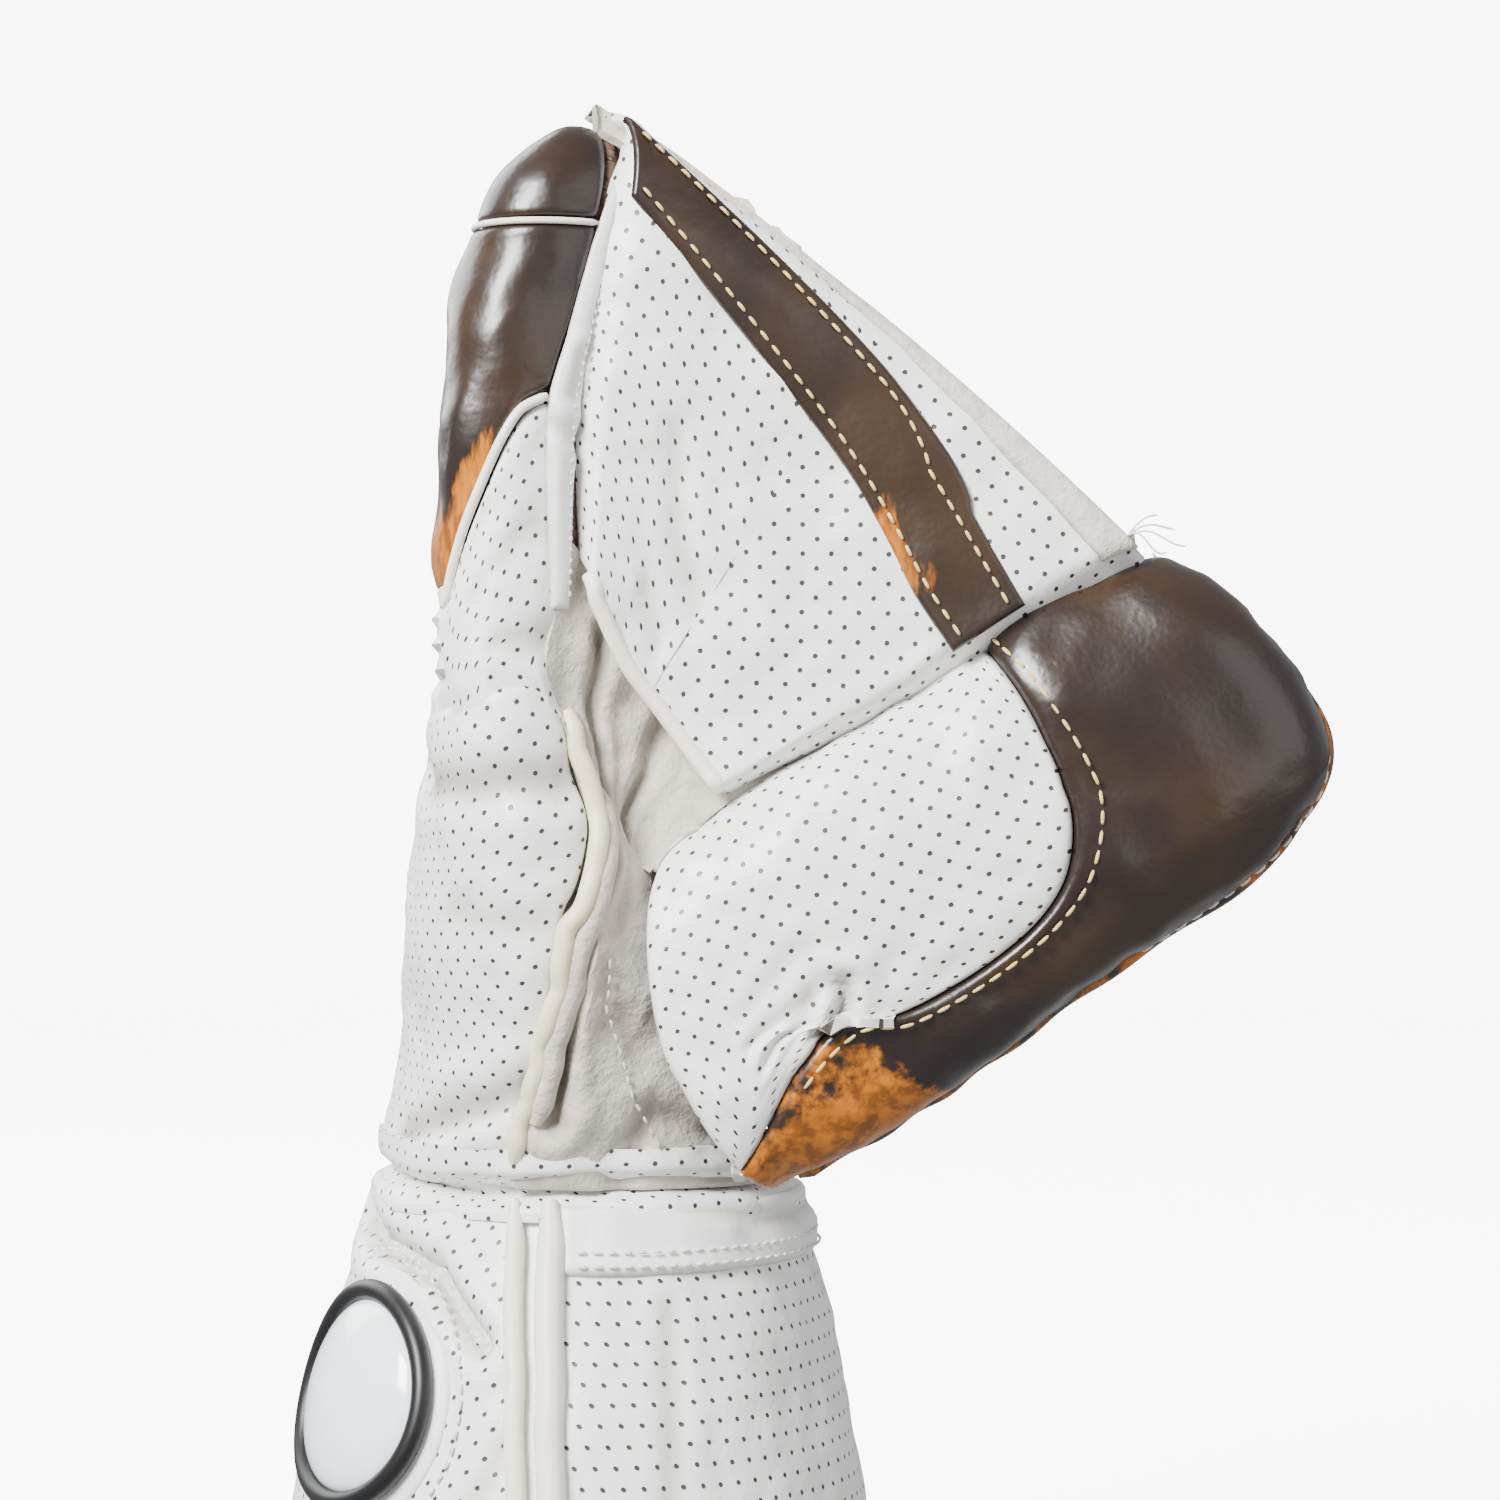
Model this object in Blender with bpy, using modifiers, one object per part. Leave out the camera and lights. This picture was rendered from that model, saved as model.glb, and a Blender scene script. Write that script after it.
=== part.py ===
"""A left-hand wicket-keeping glove, standing on its cuff with the fingers up.

Frame: Z runs from the cuff's hem to the fingertips, X points to the palm side, and Y runs from the
thumb side to the little finger. Sizes are in metres. Every panel is an open sheet on one of the
glove's surfaces, thickened by Solidify; seams keep SEAM between the panels.
"""

import math

import bmesh
import bpy
from mathutils import Matrix, Vector

GLOVE = "wicket_keeping_glove"

# Clearances
TOUCH = 0.0003
LAYER_GAP = 0.0008
SEAM = 0.0013
STALL_GAP = 0.0006

# The cuff's centre, from the middle of the whole glove's footprint
CUFF_X = -0.0356
CUFF_Y = 0.0047

# Cuff
HEM_HEIGHT = 0.006
HEM_OVERLAP = 0.0008
CUFF_HEIGHT = 0.112
MOUTH_HALF_X = 0.065
MOUTH_HALF_Y = 0.077
NECK_HALF_X = 0.045
NECK_HALF_Y = 0.051
NECK_LEAN = 0.0026
FLARE_POWER = 1.6
CUFF_SKIN = 0.0022
CUFF_PAD = 0.0050
TOP_HEM_WIDTH = 0.0135
TOP_HEM_SKIN = 0.0012
BACK_SEAM_ANGLE = 241.0
PALM_SEAM_ANGLE = 251.0
ULNAR_SEAM_ANGLE = 90.0
BACK_PIPE_RADIUS = 0.0020
PALM_PIPE_RADIUS = 0.0029
ULNAR_PIPE_RADIUS = 0.0020

# Badge, on the back of the cuff
BADGE_ANGLE = 202.0
BADGE_HEIGHT = 0.071
BADGE_HALF_WIDTH = 0.030
BADGE_HALF_HEIGHT = 0.026
BADGE_PLATE = 0.0022
BADGE_RIM = 0.0034
BADGE_RIM_HEIGHT = 0.0026
BADGE_DOME = 0.0045
BADGE_STANDOFF = 0.0012

# Wrist, between the cuff and the hand
WRIST_GAP = 0.010
WRIST_BAND_HALF_X = 0.0395
WRIST_BAND_HALF_Y = 0.0470
WRIST_BAND_SKIN = 0.0016
WRIST_BAND_LOW_GAP = 0.0010
WRIST_BAND_HIGH_GAP = 0.0040

# Hand
HAND_HEIGHT = 0.103
HAND_SKIN = 0.0022
HAND_PAD = 0.0045
PALM_FACE = 0.0025
PALM_PAD = 0.0060
HEEL_HALF_X = 0.0410
HEEL_HALF_Y = 0.0510
BALL_RISE = 0.015
BALL_HALF_X = 0.0352
BALL_HALF_Y = 0.0545
BALL_LEAN = -0.0012
MID_RISE = 0.053
MID_HALF_X = 0.0300
MID_HALF_Y = 0.0600
MID_LEAN = -0.0045
MID_CUP = 0.16
KNUCKLE_LEAN = -0.0140
KNUCKLE_CUP = 0.24
KNUCKLE_STEP = 0.0018
HAND_POWER = 2.4
BACK_EDGE_DROP = 0.010
BACK_FROM_ANGLE = 95.0
BACK_TO_ANGLE = 268.0
GUSSET_TO_ANGLE = 300.0
PALM_FROM_ANGLE = 331.0
ULNAR_FROM_ANGLE = 60.0
WELT_ANGLE = 269.5
WELT_RADIUS = 0.0022
WELT_TOP_RISE = 0.070

# Fingers: name, half width, length of the stall above the knuckle line
FINGERS = (
    ("index", 0.0145, 0.1095),
    ("middle", 0.0145, 0.1130),
    ("ring", 0.0145, 0.1050),
    ("little", 0.0130, 0.0840),
)
STALL_HALF_X = 0.0145
STALL_POWER = 2.2
STALL_LEAN = 0.0020
TIP_LEAN = 0.0150
DOME_HEIGHT = 0.024
TIP_HEIGHT = 0.011
TIP_SEAM = 0.0012
BACK_WALL = 0.0036
PALM_WALL = 0.0030
SIDE_WALL = 0.0018
STALL_FOOT = 0.0015
STALL_BACK_STEP = 0.0145
CORNER_ANGLE = 53.0
KNUCKLE_SKIN = 0.0016
KNUCKLE_HALF_ANGLE = 78.0
SEAM_STRIP_FROM = 280.0
SEAM_STRIP_TO = 303.0
SEAM_STRIP_SKIN = 0.0015
FINGER_PIPE_ANGLE = 275.0
FINGER_PIPE_RADIUS = 0.0009

# Thumb, laid out in a plane turned by THUMB_PLANE about Z
THUMB_PLANE = -15.0
THUMB_BASE_OUT = 0.034
THUMB_BASE_RISE = 0.021
THUMB_SLOPE = 40.5
THUMB_DEPTH = 0.0430
THUMB_POWER = 2.5
# along the thumb, centre across it, half width, half thickness
THUMB_SECTIONS = (
    (-0.020, 0.0050, 0.0290, 0.0165),
    (0.020, 0.0050, 0.0370, 0.0180),
    (0.070, -0.0015, 0.0350, 0.0180),
    (0.110, -0.0060, 0.0345, 0.0160),
    (0.134, -0.0060, 0.0290, 0.0120),
)
THUMB_STALL_END = 0.112
THUMB_TIP_LENGTH = 0.0255
THUMB_CAP_START = 0.088
THUMB_WALL = 0.0024
THUMB_CAP_WALL = 0.0028
THUMB_STANDOFF = 0.0022
THUMB_FRONT_FROM = 22.0
THUMB_FRONT_TO = 116.0
THUMB_RIM_TO = 206.0
THUMB_REAR_TO = 330.0
THUMB_WELT_RADIUS = 0.0022
THUMB_WELT_START = 0.020
THUMB_WELT_END = 0.108
THUMB_MOUTH_RISE = 0.002
THUMB_EDGE_OUT = 0.0145

# Web between the index finger and the thumb
WEB_SKIN = 0.0020
WEB_BACKING = 0.0018
WEB_STRIPE_SKIN = 0.0014
WEB_STANDOFF = WEB_SKIN + LAYER_GAP + WEB_BACKING + SEAM
WEB_DISH = 0.003
WEB_FINGER_ANGLE = 311.0
WEB_FOOT = 0.0190
WEB_TOP = 0.1060
WEB_THUMB_ANGLE = 24.0
WEB_THUMB_FOOT = 0.036
WEB_THUMB_TOP = 0.124
STRIPE_FINGER = (0.76, 0.89)
STRIPE_THUMB = (0.68, 0.81)
TOP_BINDING_RADIUS = 0.0024
LOW_BINDING_RADIUS = 0.0017
BINDING_GAP = 0.0016

# Colours: red, green, blue, roughness
WHITE_LEATHER = (0.80, 0.80, 0.78, 0.45)
BROWN_LEATHER = (0.055, 0.032, 0.024, 0.30)
SUEDE = (0.55, 0.51, 0.45, 0.90)
CREAM = (0.74, 0.72, 0.60, 0.50)
WELT_YELLOW = (0.74, 0.68, 0.44, 0.60)
RUBBER = (0.42, 0.20, 0.06, 0.70)
FOAM = (0.60, 0.60, 0.58, 0.90)
LINING = (0.50, 0.50, 0.52, 0.90)
GLOSS_WHITE = (0.85, 0.87, 0.90, 0.10)
GLOSS_BLACK = (0.01, 0.01, 0.012, 0.15)
ELASTIC = (0.70, 0.70, 0.68, 0.80)


# ---------------------------------------------------------------- measures


def oval(angle, power):
    """A point on a unit oval; a power over 2 squares its corners."""
    turn = math.radians(angle)
    c = math.cos(turn)
    s = math.sin(turn)
    return (
        math.copysign(abs(c) ** (2 / power), c),
        math.copysign(abs(s) ** (2 / power), s),
    )


def between(sections, at):
    """The section at a station, on a smooth curve through the sections."""
    stations = [section[0] for section in sections]
    last = len(sections) - 2
    i = min(max(sum(station <= at for station in stations) - 1, 0), last)
    before = max(i - 1, 0)
    after = min(i + 2, last + 1)
    span = stations[i + 1] - stations[i]
    t = (at - stations[i]) / span
    t = min(max(t, -0.5), 1.5)
    values = []
    for k in range(1, len(sections[0])):
        a = sections[i][k]
        b = sections[i + 1][k]
        slope_a = (b - sections[before][k]) / (stations[i + 1] - stations[before]) * span
        slope_b = (sections[after][k] - a) / (stations[after] - stations[i]) * span
        values.append(
            (2 * t**3 - 3 * t**2 + 1) * a
            + (t**3 - 2 * t**2 + t) * slope_a
            + (3 * t**2 - 2 * t**3) * b
            + (t**3 - t**2) * slope_b
        )
    return values


def mix(a, b, share):
    return a + (b - a) * share


def lifted(surface, u, v, distance):
    """A point over a surface, by its distance along the normal."""
    step = 0.002
    across = surface(u + step, v) - surface(u - step, v)
    along = surface(u, v + step) - surface(u, v - step)
    return surface(u, v) + across.cross(along).normalized() * distance


# ---------------------------------------------------------------- surfaces


def cuff_point(angle, z):
    rise = min(max(z / CUFF_HEIGHT, 0.0), 1.1)
    flare = rise**FLARE_POWER
    c, s = oval(angle, 2.0)
    x = CUFF_X + NECK_LEAN * rise**2 + mix(MOUTH_HALF_X, NECK_HALF_X, flare) * c
    y = CUFF_Y + mix(MOUTH_HALF_Y, NECK_HALF_Y, flare) * s
    return Vector((x, y, z))


def finger_row():
    """Each finger's centre across the hand, and half the width of the row."""
    widths = [half for _, half, _ in FINGERS]
    total = 2 * sum(widths) + STALL_GAP * (len(widths) - 1)
    centres = {}
    at = -total / 2
    for name, half, _ in FINGERS:
        centres[name] = at + half
        at += 2 * half + STALL_GAP
    return centres, total / 2


FINGER_Y, ROW_HALF = finger_row()
FINGER_HALF = {name: half for name, half, _ in FINGERS}
FINGER_LENGTH = {name: length for name, _, length in FINGERS}
HAND_Z = CUFF_HEIGHT + WRIST_GAP
KNUCKLE_Z = HAND_Z + HAND_HEIGHT
# height over the heel, centre, half thickness, half width, cup
HAND_SECTIONS = (
    (0.0, 0.0, HEEL_HALF_X, HEEL_HALF_Y, 0.0),
    (BALL_RISE, BALL_LEAN, BALL_HALF_X, BALL_HALF_Y, 0.02),
    (MID_RISE, MID_LEAN, MID_HALF_X, MID_HALF_Y, MID_CUP),
    (HAND_HEIGHT, KNUCKLE_LEAN, STALL_HALF_X + KNUCKLE_STEP, ROW_HALF + KNUCKLE_STEP, KNUCKLE_CUP),
)


def hand_point(angle, z):
    centre, half_x, half_y, cup = between(HAND_SECTIONS, z - HAND_Z)
    c, s = oval(angle, HAND_POWER)
    y = half_y * s
    return Vector((CUFF_X + centre + half_x * c + cup * y, CUFF_Y + y, z))


def outside_hand(point, margin):
    """Whether a point is clear of the hand's outer surface."""
    centre, half_x, half_y, cup = between(HAND_SECTIONS, point.z - HAND_Z)
    y = point.y - CUFF_Y
    x = point.x - CUFF_X - centre - cup * y
    far = (abs(x) / (half_x + margin)) ** HAND_POWER + (abs(y) / (half_y + margin)) ** HAND_POWER
    return far > 1


def finger_shrink(name, height):
    """The stall's section against its full one: it closes in a dome."""
    start = FINGER_LENGTH[name] - DOME_HEIGHT
    q = min(max((height - start) / DOME_HEIGHT, 0.0), 0.98)
    return math.sqrt(1 - q * q)


def finger_centre(name, height):
    share = max(height, 0.0) / FINGER_LENGTH[name]
    y = FINGER_Y[name]
    x = KNUCKLE_LEAN + KNUCKLE_CUP * y + STALL_LEAN * share + TIP_LEAN * share**4
    return Vector((CUFF_X + x, CUFF_Y + y, KNUCKLE_Z + height))


def finger_point(name, angle, height):
    c, s = oval(angle, STALL_POWER)
    shrink = finger_shrink(name, height)
    out = Vector((STALL_HALF_X * c, FINGER_HALF[name] * s, 0)) * shrink
    return finger_centre(name, height) + out


def thumb_axes():
    """Along the thumb, across it towards the web, and out of the back of it."""
    turn = math.radians(THUMB_PLANE)
    slope = math.radians(THUMB_SLOPE)
    right = Vector((math.cos(turn), math.sin(turn), 0))
    front = Vector((math.sin(turn), -math.cos(turn), 0))
    up = Vector((0, 0, 1))
    along = right * math.cos(slope) + up * math.sin(slope)
    return along, front.cross(along), front, right


ALONG, ACROSS, FRONT, RIGHT = thumb_axes()
THUMB_BASE = Vector((CUFF_X, CUFF_Y, HAND_Z + THUMB_BASE_RISE)) + RIGHT * THUMB_BASE_OUT + FRONT * THUMB_DEPTH


def thumb_point(angle, station):
    centre, half_width, half_depth = between(THUMB_SECTIONS, station)
    c, s = oval(angle, THUMB_POWER)
    middle = THUMB_BASE + ALONG * station + ACROSS * centre
    return middle + ACROSS * half_width * c + FRONT * half_depth * s


def thumb_start(angle):
    """Where the thumb's wall at this angle leaves the hand and clears the wrist."""
    centre, _, _ = between(THUMB_SECTIONS, 0.02)
    station = -0.030
    while station < THUMB_CAP_START:
        outer = thumb_point(angle, station)
        middle = THUMB_BASE + ALONG * station + ACROSS * centre
        inner = outer + (middle - outer).normalized() * (THUMB_CAP_WALL + TOUCH)
        clear = outside_hand(outer, THUMB_STANDOFF) and outside_hand(inner, THUMB_STANDOFF)
        edge = (outer - Vector((CUFF_X, CUFF_Y, 0))).dot(RIGHT) > THUMB_EDGE_OUT
        if clear and edge and min(outer.z, inner.z) > HAND_Z + THUMB_MOUTH_RISE:
            return station
        station += 0.0005
    return station


def web_point(u, v):
    """The web's outer face: u from the finger to the thumb, v from its free edge to its top."""
    height = mix(WEB_FOOT, WEB_TOP, v)
    finger = lifted(lambda a, h: finger_point("index", a, h), WEB_FINGER_ANGLE, height, WEB_STANDOFF)
    station = mix(WEB_THUMB_FOOT, WEB_THUMB_TOP, v)
    thumb = lifted(thumb_point, WEB_THUMB_ANGLE, station, WEB_STANDOFF)
    return finger.lerp(thumb, u) - FRONT * WEB_DISH * math.sin(math.pi * min(max(u, 0), 1))


def stripe_point(u, share):
    low = mix(STRIPE_FINGER[0], STRIPE_THUMB[0], u)
    high = mix(STRIPE_FINGER[1], STRIPE_THUMB[1], u)
    return web_point(u, mix(low, high, share))


# ---------------------------------------------------------------- builders


def clear_scene():
    for obj in list(bpy.data.objects):
        bpy.data.objects.remove(obj)


def material(name, colour):
    made = bpy.data.materials.new(name)
    made.use_nodes = True
    shader = made.node_tree.nodes["Principled BSDF"]
    shader.inputs["Base Color"].default_value = (*colour[:3], 1)
    shader.inputs["Roughness"].default_value = colour[3]
    shader.inputs["Metallic"].default_value = 0
    return made


def add_object(name, bm, colour, parent=None):
    mesh = bpy.data.meshes.new(name)
    bm.to_mesh(mesh)
    bm.free()
    mesh.materials.append(material(name, colour))
    mesh.shade_smooth()
    obj = bpy.data.objects.new(name, mesh)
    bpy.data.collections[GLOVE].objects.link(obj)
    if parent:
        obj.parent = parent
        obj.matrix_parent_inverse = Matrix.Translation(-parent.location)
    return obj


def panel(name, place, counts, skin, colour, parent=None, side=-1, ring=False):
    """A sheet on a surface: place(u, v) for u and v from 0 to 1, thickened by skin."""
    bm = bmesh.new()
    bmesh.ops.create_grid(bm, x_segments=counts[0], y_segments=counts[1], size=0.5)
    for vert in bm.verts:
        vert.co = place(vert.co.x + 0.5, vert.co.y + 0.5)
    if ring:
        bmesh.ops.remove_doubles(bm, verts=bm.verts, dist=0.00001)
    obj = add_object(name, bm, colour, parent)
    solid = obj.modifiers.new("thickness", "SOLIDIFY")
    solid.thickness = skin
    solid.offset = side
    solid.use_even_offset = True
    return obj


def dome(name, place, counts, steep, colour, parent=None):
    """A plate or dome from a sphere: place(x, y, h) with x, y on the unit disc and h from 0 to 1."""
    bm = bmesh.new()
    bmesh.ops.create_uvsphere(bm, u_segments=counts[0], v_segments=counts[1], radius=1)
    for vert in bm.verts:
        vert.co = place(vert.co.x, vert.co.y, min(max(vert.co.z, 0) * steep, 1))
    return add_object(name, bm, colour, parent)


def rope(name, points, radius, colour, parent=None):
    """A round piping through a list of points."""
    curve = bpy.data.curves.new(name, "CURVE")
    curve.dimensions = "3D"
    curve.bevel_depth = radius
    curve.bevel_resolution = 2
    curve.use_fill_caps = True
    spline = curve.splines.new("POLY")
    spline.points.add(len(points) - 1)
    for knot, point in zip(spline.points, points):
        knot.co = (*point, 1)
    curve.materials.append(material(name, colour))
    obj = bpy.data.objects.new(name, curve)
    bpy.data.collections[GLOVE].objects.link(obj)
    if parent:
        obj.parent = parent
        obj.matrix_parent_inverse = Matrix.Translation(-parent.location)
    return obj


def joint(name, point):
    """An empty on a joint's axis, that the moving pieces are parented to."""
    empty = bpy.data.objects.new(name, None)
    empty.location = point
    empty.empty_display_size = 0.02
    bpy.data.collections[GLOVE].objects.link(empty)
    return empty


def steps(low, high, count):
    return [mix(low, high, i / count) for i in range(count + 1)]


# ---------------------------------------------------------------- cuff


def cuff_sheet(name, from_angle, to_angle, low, high, lift, skin, colour, counts, side=-1):
    """Part of the cuff between two angles and two heights, lifted off its outer surface."""

    def place(u, v):
        return lifted(cuff_point, mix(from_angle, to_angle, u), mix(low, high, v), lift)

    return panel(name, place, counts, skin, colour, side=side)


def seam_turn(width):
    """The turn, in degrees, that leaves a gap of this width on the cuff's neck."""
    return math.degrees(width / NECK_HALF_X) / 2


def make_cuff():
    low = HEM_HEIGHT + SEAM
    back_from = ULNAR_SEAM_ANGLE + seam_turn(SEAM)
    palm_to = 360 + ULNAR_SEAM_ANGLE - seam_turn(SEAM)
    inside = -(CUFF_SKIN + LAYER_GAP)
    pad_gap = seam_turn(2 * SEAM)
    cuff_sheet("cuff_back_panel", back_from, BACK_SEAM_ANGLE, low, CUFF_HEIGHT, 0,
               CUFF_SKIN, WHITE_LEATHER, (12, 4))
    cuff_sheet("cuff_back_padding", back_from + pad_gap, BACK_SEAM_ANGLE, low + SEAM, CUFF_HEIGHT, inside,
               CUFF_PAD, LINING, (12, 4))
    cuff_sheet("cuff_palm_panel", PALM_SEAM_ANGLE, palm_to, low, CUFF_HEIGHT, 0,
               CUFF_SKIN, WHITE_LEATHER, (12, 4))
    cuff_sheet("cuff_palm_padding", PALM_SEAM_ANGLE, palm_to - pad_gap, low + SEAM, CUFF_HEIGHT, inside,
               CUFF_PAD, LINING, (12, 4))
    margin = seam_turn(2 * PALM_PIPE_RADIUS)
    cuff_sheet("cuff_top_hem", PALM_SEAM_ANGLE + margin, palm_to - margin,
               CUFF_HEIGHT - TOP_HEM_WIDTH, CUFF_HEIGHT, TOUCH * 2, TOP_HEM_SKIN, WHITE_LEATHER,
               (12, 1), side=1)


def make_radial_strip():
    """The narrow strip of cuff between the two pipings on the thumb side."""
    gap = seam_turn(2 * SEAM)
    cuff_sheet("cuff_radial_strip", BACK_SEAM_ANGLE + gap, PALM_SEAM_ANGLE - gap,
               HEM_HEIGHT + SEAM, CUFF_HEIGHT, -CUFF_SKIN, CUFF_SKIN, WHITE_LEATHER, (2, 4))


def make_cuff_pipings():
    low = HEM_HEIGHT + BACK_PIPE_RADIUS + TOUCH
    pipes = (
        ("radial_piping_back", BACK_SEAM_ANGLE + 1.0, BACK_PIPE_RADIUS),
        ("radial_piping_palm", PALM_SEAM_ANGLE - 1.0, PALM_PIPE_RADIUS),
        ("ulnar_piping", ULNAR_SEAM_ANGLE, ULNAR_PIPE_RADIUS),
    )
    for name, angle, radius in pipes:
        points = [lifted(cuff_point, angle, z, radius + 2 * TOUCH) for z in steps(low, CUFF_HEIGHT, 8)]
        rope(name, points, radius, CREAM)


def make_hem():
    """The bound lower edge: a flat ring that the glove stands on."""
    wall = CUFF_SKIN + TOUCH + CUFF_PAD
    curve = bpy.data.curves.new("hem_binding", "CURVE")
    curve.dimensions = "2D"
    curve.fill_mode = "BOTH"
    curve.extrude = HEM_HEIGHT / 2
    for grow in (HEM_OVERLAP, -wall):
        spline = curve.splines.new("POLY")
        spline.points.add(39)
        spline.use_cyclic_u = True
        for k, knot in enumerate(spline.points):
            c, s = oval(k * 360 / 40, 2.0)
            knot.co = ((MOUTH_HALF_X + grow) * c, (MOUTH_HALF_Y + grow) * s, 0, 1)
    curve.materials.append(material("hem_binding", CREAM))
    obj = bpy.data.objects.new("hem_binding", curve)
    obj.location = (CUFF_X, CUFF_Y, HEM_HEIGHT / 2)
    bpy.data.collections[GLOVE].objects.link(obj)


def badge_place(half_width, half_height, low, high):
    """Maps a disc of this half size onto the back of the cuff, between two lifts."""
    radius = mix(MOUTH_HALF_X, MOUTH_HALF_Y, 0.5)

    def place(x, y, h):
        angle = BADGE_ANGLE + math.degrees(x * half_width / radius)
        return lifted(cuff_point, angle, BADGE_HEIGHT + y * half_height, mix(low, high, h))

    return place


def make_badge():
    plate_top = BADGE_STANDOFF + BADGE_PLATE
    place = badge_place(BADGE_HALF_WIDTH, BADGE_HALF_HEIGHT, BADGE_STANDOFF, plate_top)
    dome("badge_base", place, (20, 6), 3.0, WHITE_LEATHER)

    inner_width = BADGE_HALF_WIDTH - 2 * BADGE_RIM
    inner_height = BADGE_HALF_HEIGHT - 2 * BADGE_RIM
    bottom = plate_top + TOUCH * 2
    place = badge_place(inner_width, inner_height, bottom, bottom + BADGE_DOME)
    dome("badge_face", place, (20, 8), 1.4, GLOSS_WHITE)

    ring_width = BADGE_HALF_WIDTH - BADGE_RIM
    ring_height = BADGE_HALF_HEIGHT - BADGE_RIM
    middle = bottom + BADGE_RIM_HEIGHT / 2
    place = badge_place(1, 1, 0, 1)
    bpy.ops.mesh.primitive_torus_add(major_segments=28, minor_segments=6, major_radius=1, minor_radius=0.1)
    torus = bpy.context.object
    bm = bmesh.new()
    bm.from_mesh(torus.data)
    bpy.data.objects.remove(torus)
    for vert in bm.verts:
        flat = Vector((vert.co.x, vert.co.y, 0))
        inwards = (flat.length - 1) * 10
        direction = flat.normalized()
        x = direction.x * (ring_width + inwards * (BADGE_RIM / 2 - TOUCH))
        y = direction.y * (ring_height + inwards * (BADGE_RIM / 2 - TOUCH))
        vert.co = place(x, y, middle + vert.co.z * 10 * BADGE_RIM_HEIGHT / 2)
    add_object("badge_border", bm, GLOSS_BLACK)


def make_wrist_band():
    """A gathered band that bridges the cuff and the hand."""
    low = CUFF_HEIGHT + WRIST_BAND_LOW_GAP
    high = HAND_Z - WRIST_BAND_HIGH_GAP

    def place(u, v):
        c, s = oval(360 * u, 2.1)
        x = CUFF_X + NECK_LEAN / 2 + WRIST_BAND_HALF_X * c
        return Vector((x, CUFF_Y + WRIST_BAND_HALF_Y * s, mix(low, high, v)))

    panel("wrist_band", place, (32, 1), WRIST_BAND_SKIN, ELASTIC, ring=True)


# ---------------------------------------------------------------- hand


def hand_top(angle):
    """The hand's upper edge: it drops towards the back, where the knuckle gathers are."""
    return KNUCKLE_Z - BACK_EDGE_DROP * (1 - math.cos(math.radians(angle))) / 2


def hand_sheet(name, from_angle, to_angle, lift, skin, colour, counts, parent, side=-1, low=HAND_Z):

    def place(u, v):
        angle = mix(from_angle, to_angle, u)
        return lifted(hand_point, angle, mix(low, hand_top(angle), v), lift)

    return panel(name, place, counts, skin, colour, parent, side)


def hand_turn(width):
    return math.degrees(width / HEEL_HALF_X) / 2


def make_hand(wrist):
    gap = hand_turn(2 * SEAM)
    inside = -(HAND_SKIN + LAYER_GAP)
    hand_sheet("back_hand_panel", BACK_FROM_ANGLE + gap, BACK_TO_ANGLE - gap, 0,
               HAND_SKIN, WHITE_LEATHER, (12, 6), wrist)
    hand_sheet("back_hand_padding", BACK_FROM_ANGLE + gap, BACK_TO_ANGLE - gap, inside,
               HAND_PAD, FOAM, (12, 6), wrist)
    hand_sheet("radial_gusset", BACK_TO_ANGLE + gap, GUSSET_TO_ANGLE, 0,
               HAND_SKIN, SUEDE, (3, 6), wrist)
    hand_sheet("palm_face", PALM_FROM_ANGLE, 360 + ULNAR_FROM_ANGLE - gap, 0,
               PALM_FACE, RUBBER, (7, 6), wrist)
    hand_sheet("palm_padding", PALM_FROM_ANGLE, 360 + ULNAR_FROM_ANGLE - gap,
               -(PALM_FACE + LAYER_GAP), PALM_PAD, FOAM, (7, 6), wrist)
    hand_sheet("ulnar_wall", ULNAR_FROM_ANGLE + gap, BACK_FROM_ANGLE - gap, 0,
               HAND_SKIN, WHITE_LEATHER, (3, 6), wrist)


def make_radial_welt(wrist):
    low = HAND_Z + WELT_RADIUS + TOUCH
    high = HAND_Z + WELT_TOP_RISE
    lift = WELT_RADIUS + 2 * TOUCH
    points = [lifted(hand_point, WELT_ANGLE, z, lift) for z in steps(low, high, 8)]
    rope("radial_welt", points, WELT_RADIUS, WELT_YELLOW, wrist)


# ---------------------------------------------------------------- fingers


def stall_foot(angle):
    """Height of a stall's lower edge over the knuckle line, more at the back."""
    return STALL_FOOT + STALL_BACK_STEP * (1 - math.cos(math.radians(angle))) / 2


def stall_turn(width):
    return math.degrees(width / STALL_HALF_X) / 2


def stall_sheet(name, finger, from_angle, to_angle, skin, colour, columns, parent):
    """One wall of a stall, from its lower edge to the fingertip cap."""
    top = FINGER_LENGTH[finger] - TIP_HEIGHT

    def place(u, v):
        angle = mix(from_angle, to_angle, u)
        return finger_point(finger, angle, mix(stall_foot(angle), top, v))

    return panel(name, place, (columns, 6), skin, colour, parent)


def make_finger_tip(finger, parent):
    base = FINGER_LENGTH[finger] - TIP_HEIGHT + TIP_SEAM
    height = TIP_HEIGHT - TIP_SEAM
    shrink = finger_shrink(finger, base)

    def place(x, y, h):
        out = Vector((STALL_HALF_X * x, FINGER_HALF[finger] * y, 0)) * shrink
        return finger_centre(finger, base + height * h) + out

    dome(f"{finger}_tip", place, (12, 6), 1.0, BROWN_LEATHER, parent)


def make_knuckle(finger):
    """The gathered sleeve over the back of a knuckle, between the hand and the stall."""

    def place(u, v):
        angle = 180 + mix(-KNUCKLE_HALF_ANGLE, KNUCKLE_HALF_ANGLE, u)
        low = hand_top(angle) - KNUCKLE_Z + 2 * SEAM
        return finger_point(finger, angle, mix(low, stall_foot(angle) - SEAM, v))

    return place


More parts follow.
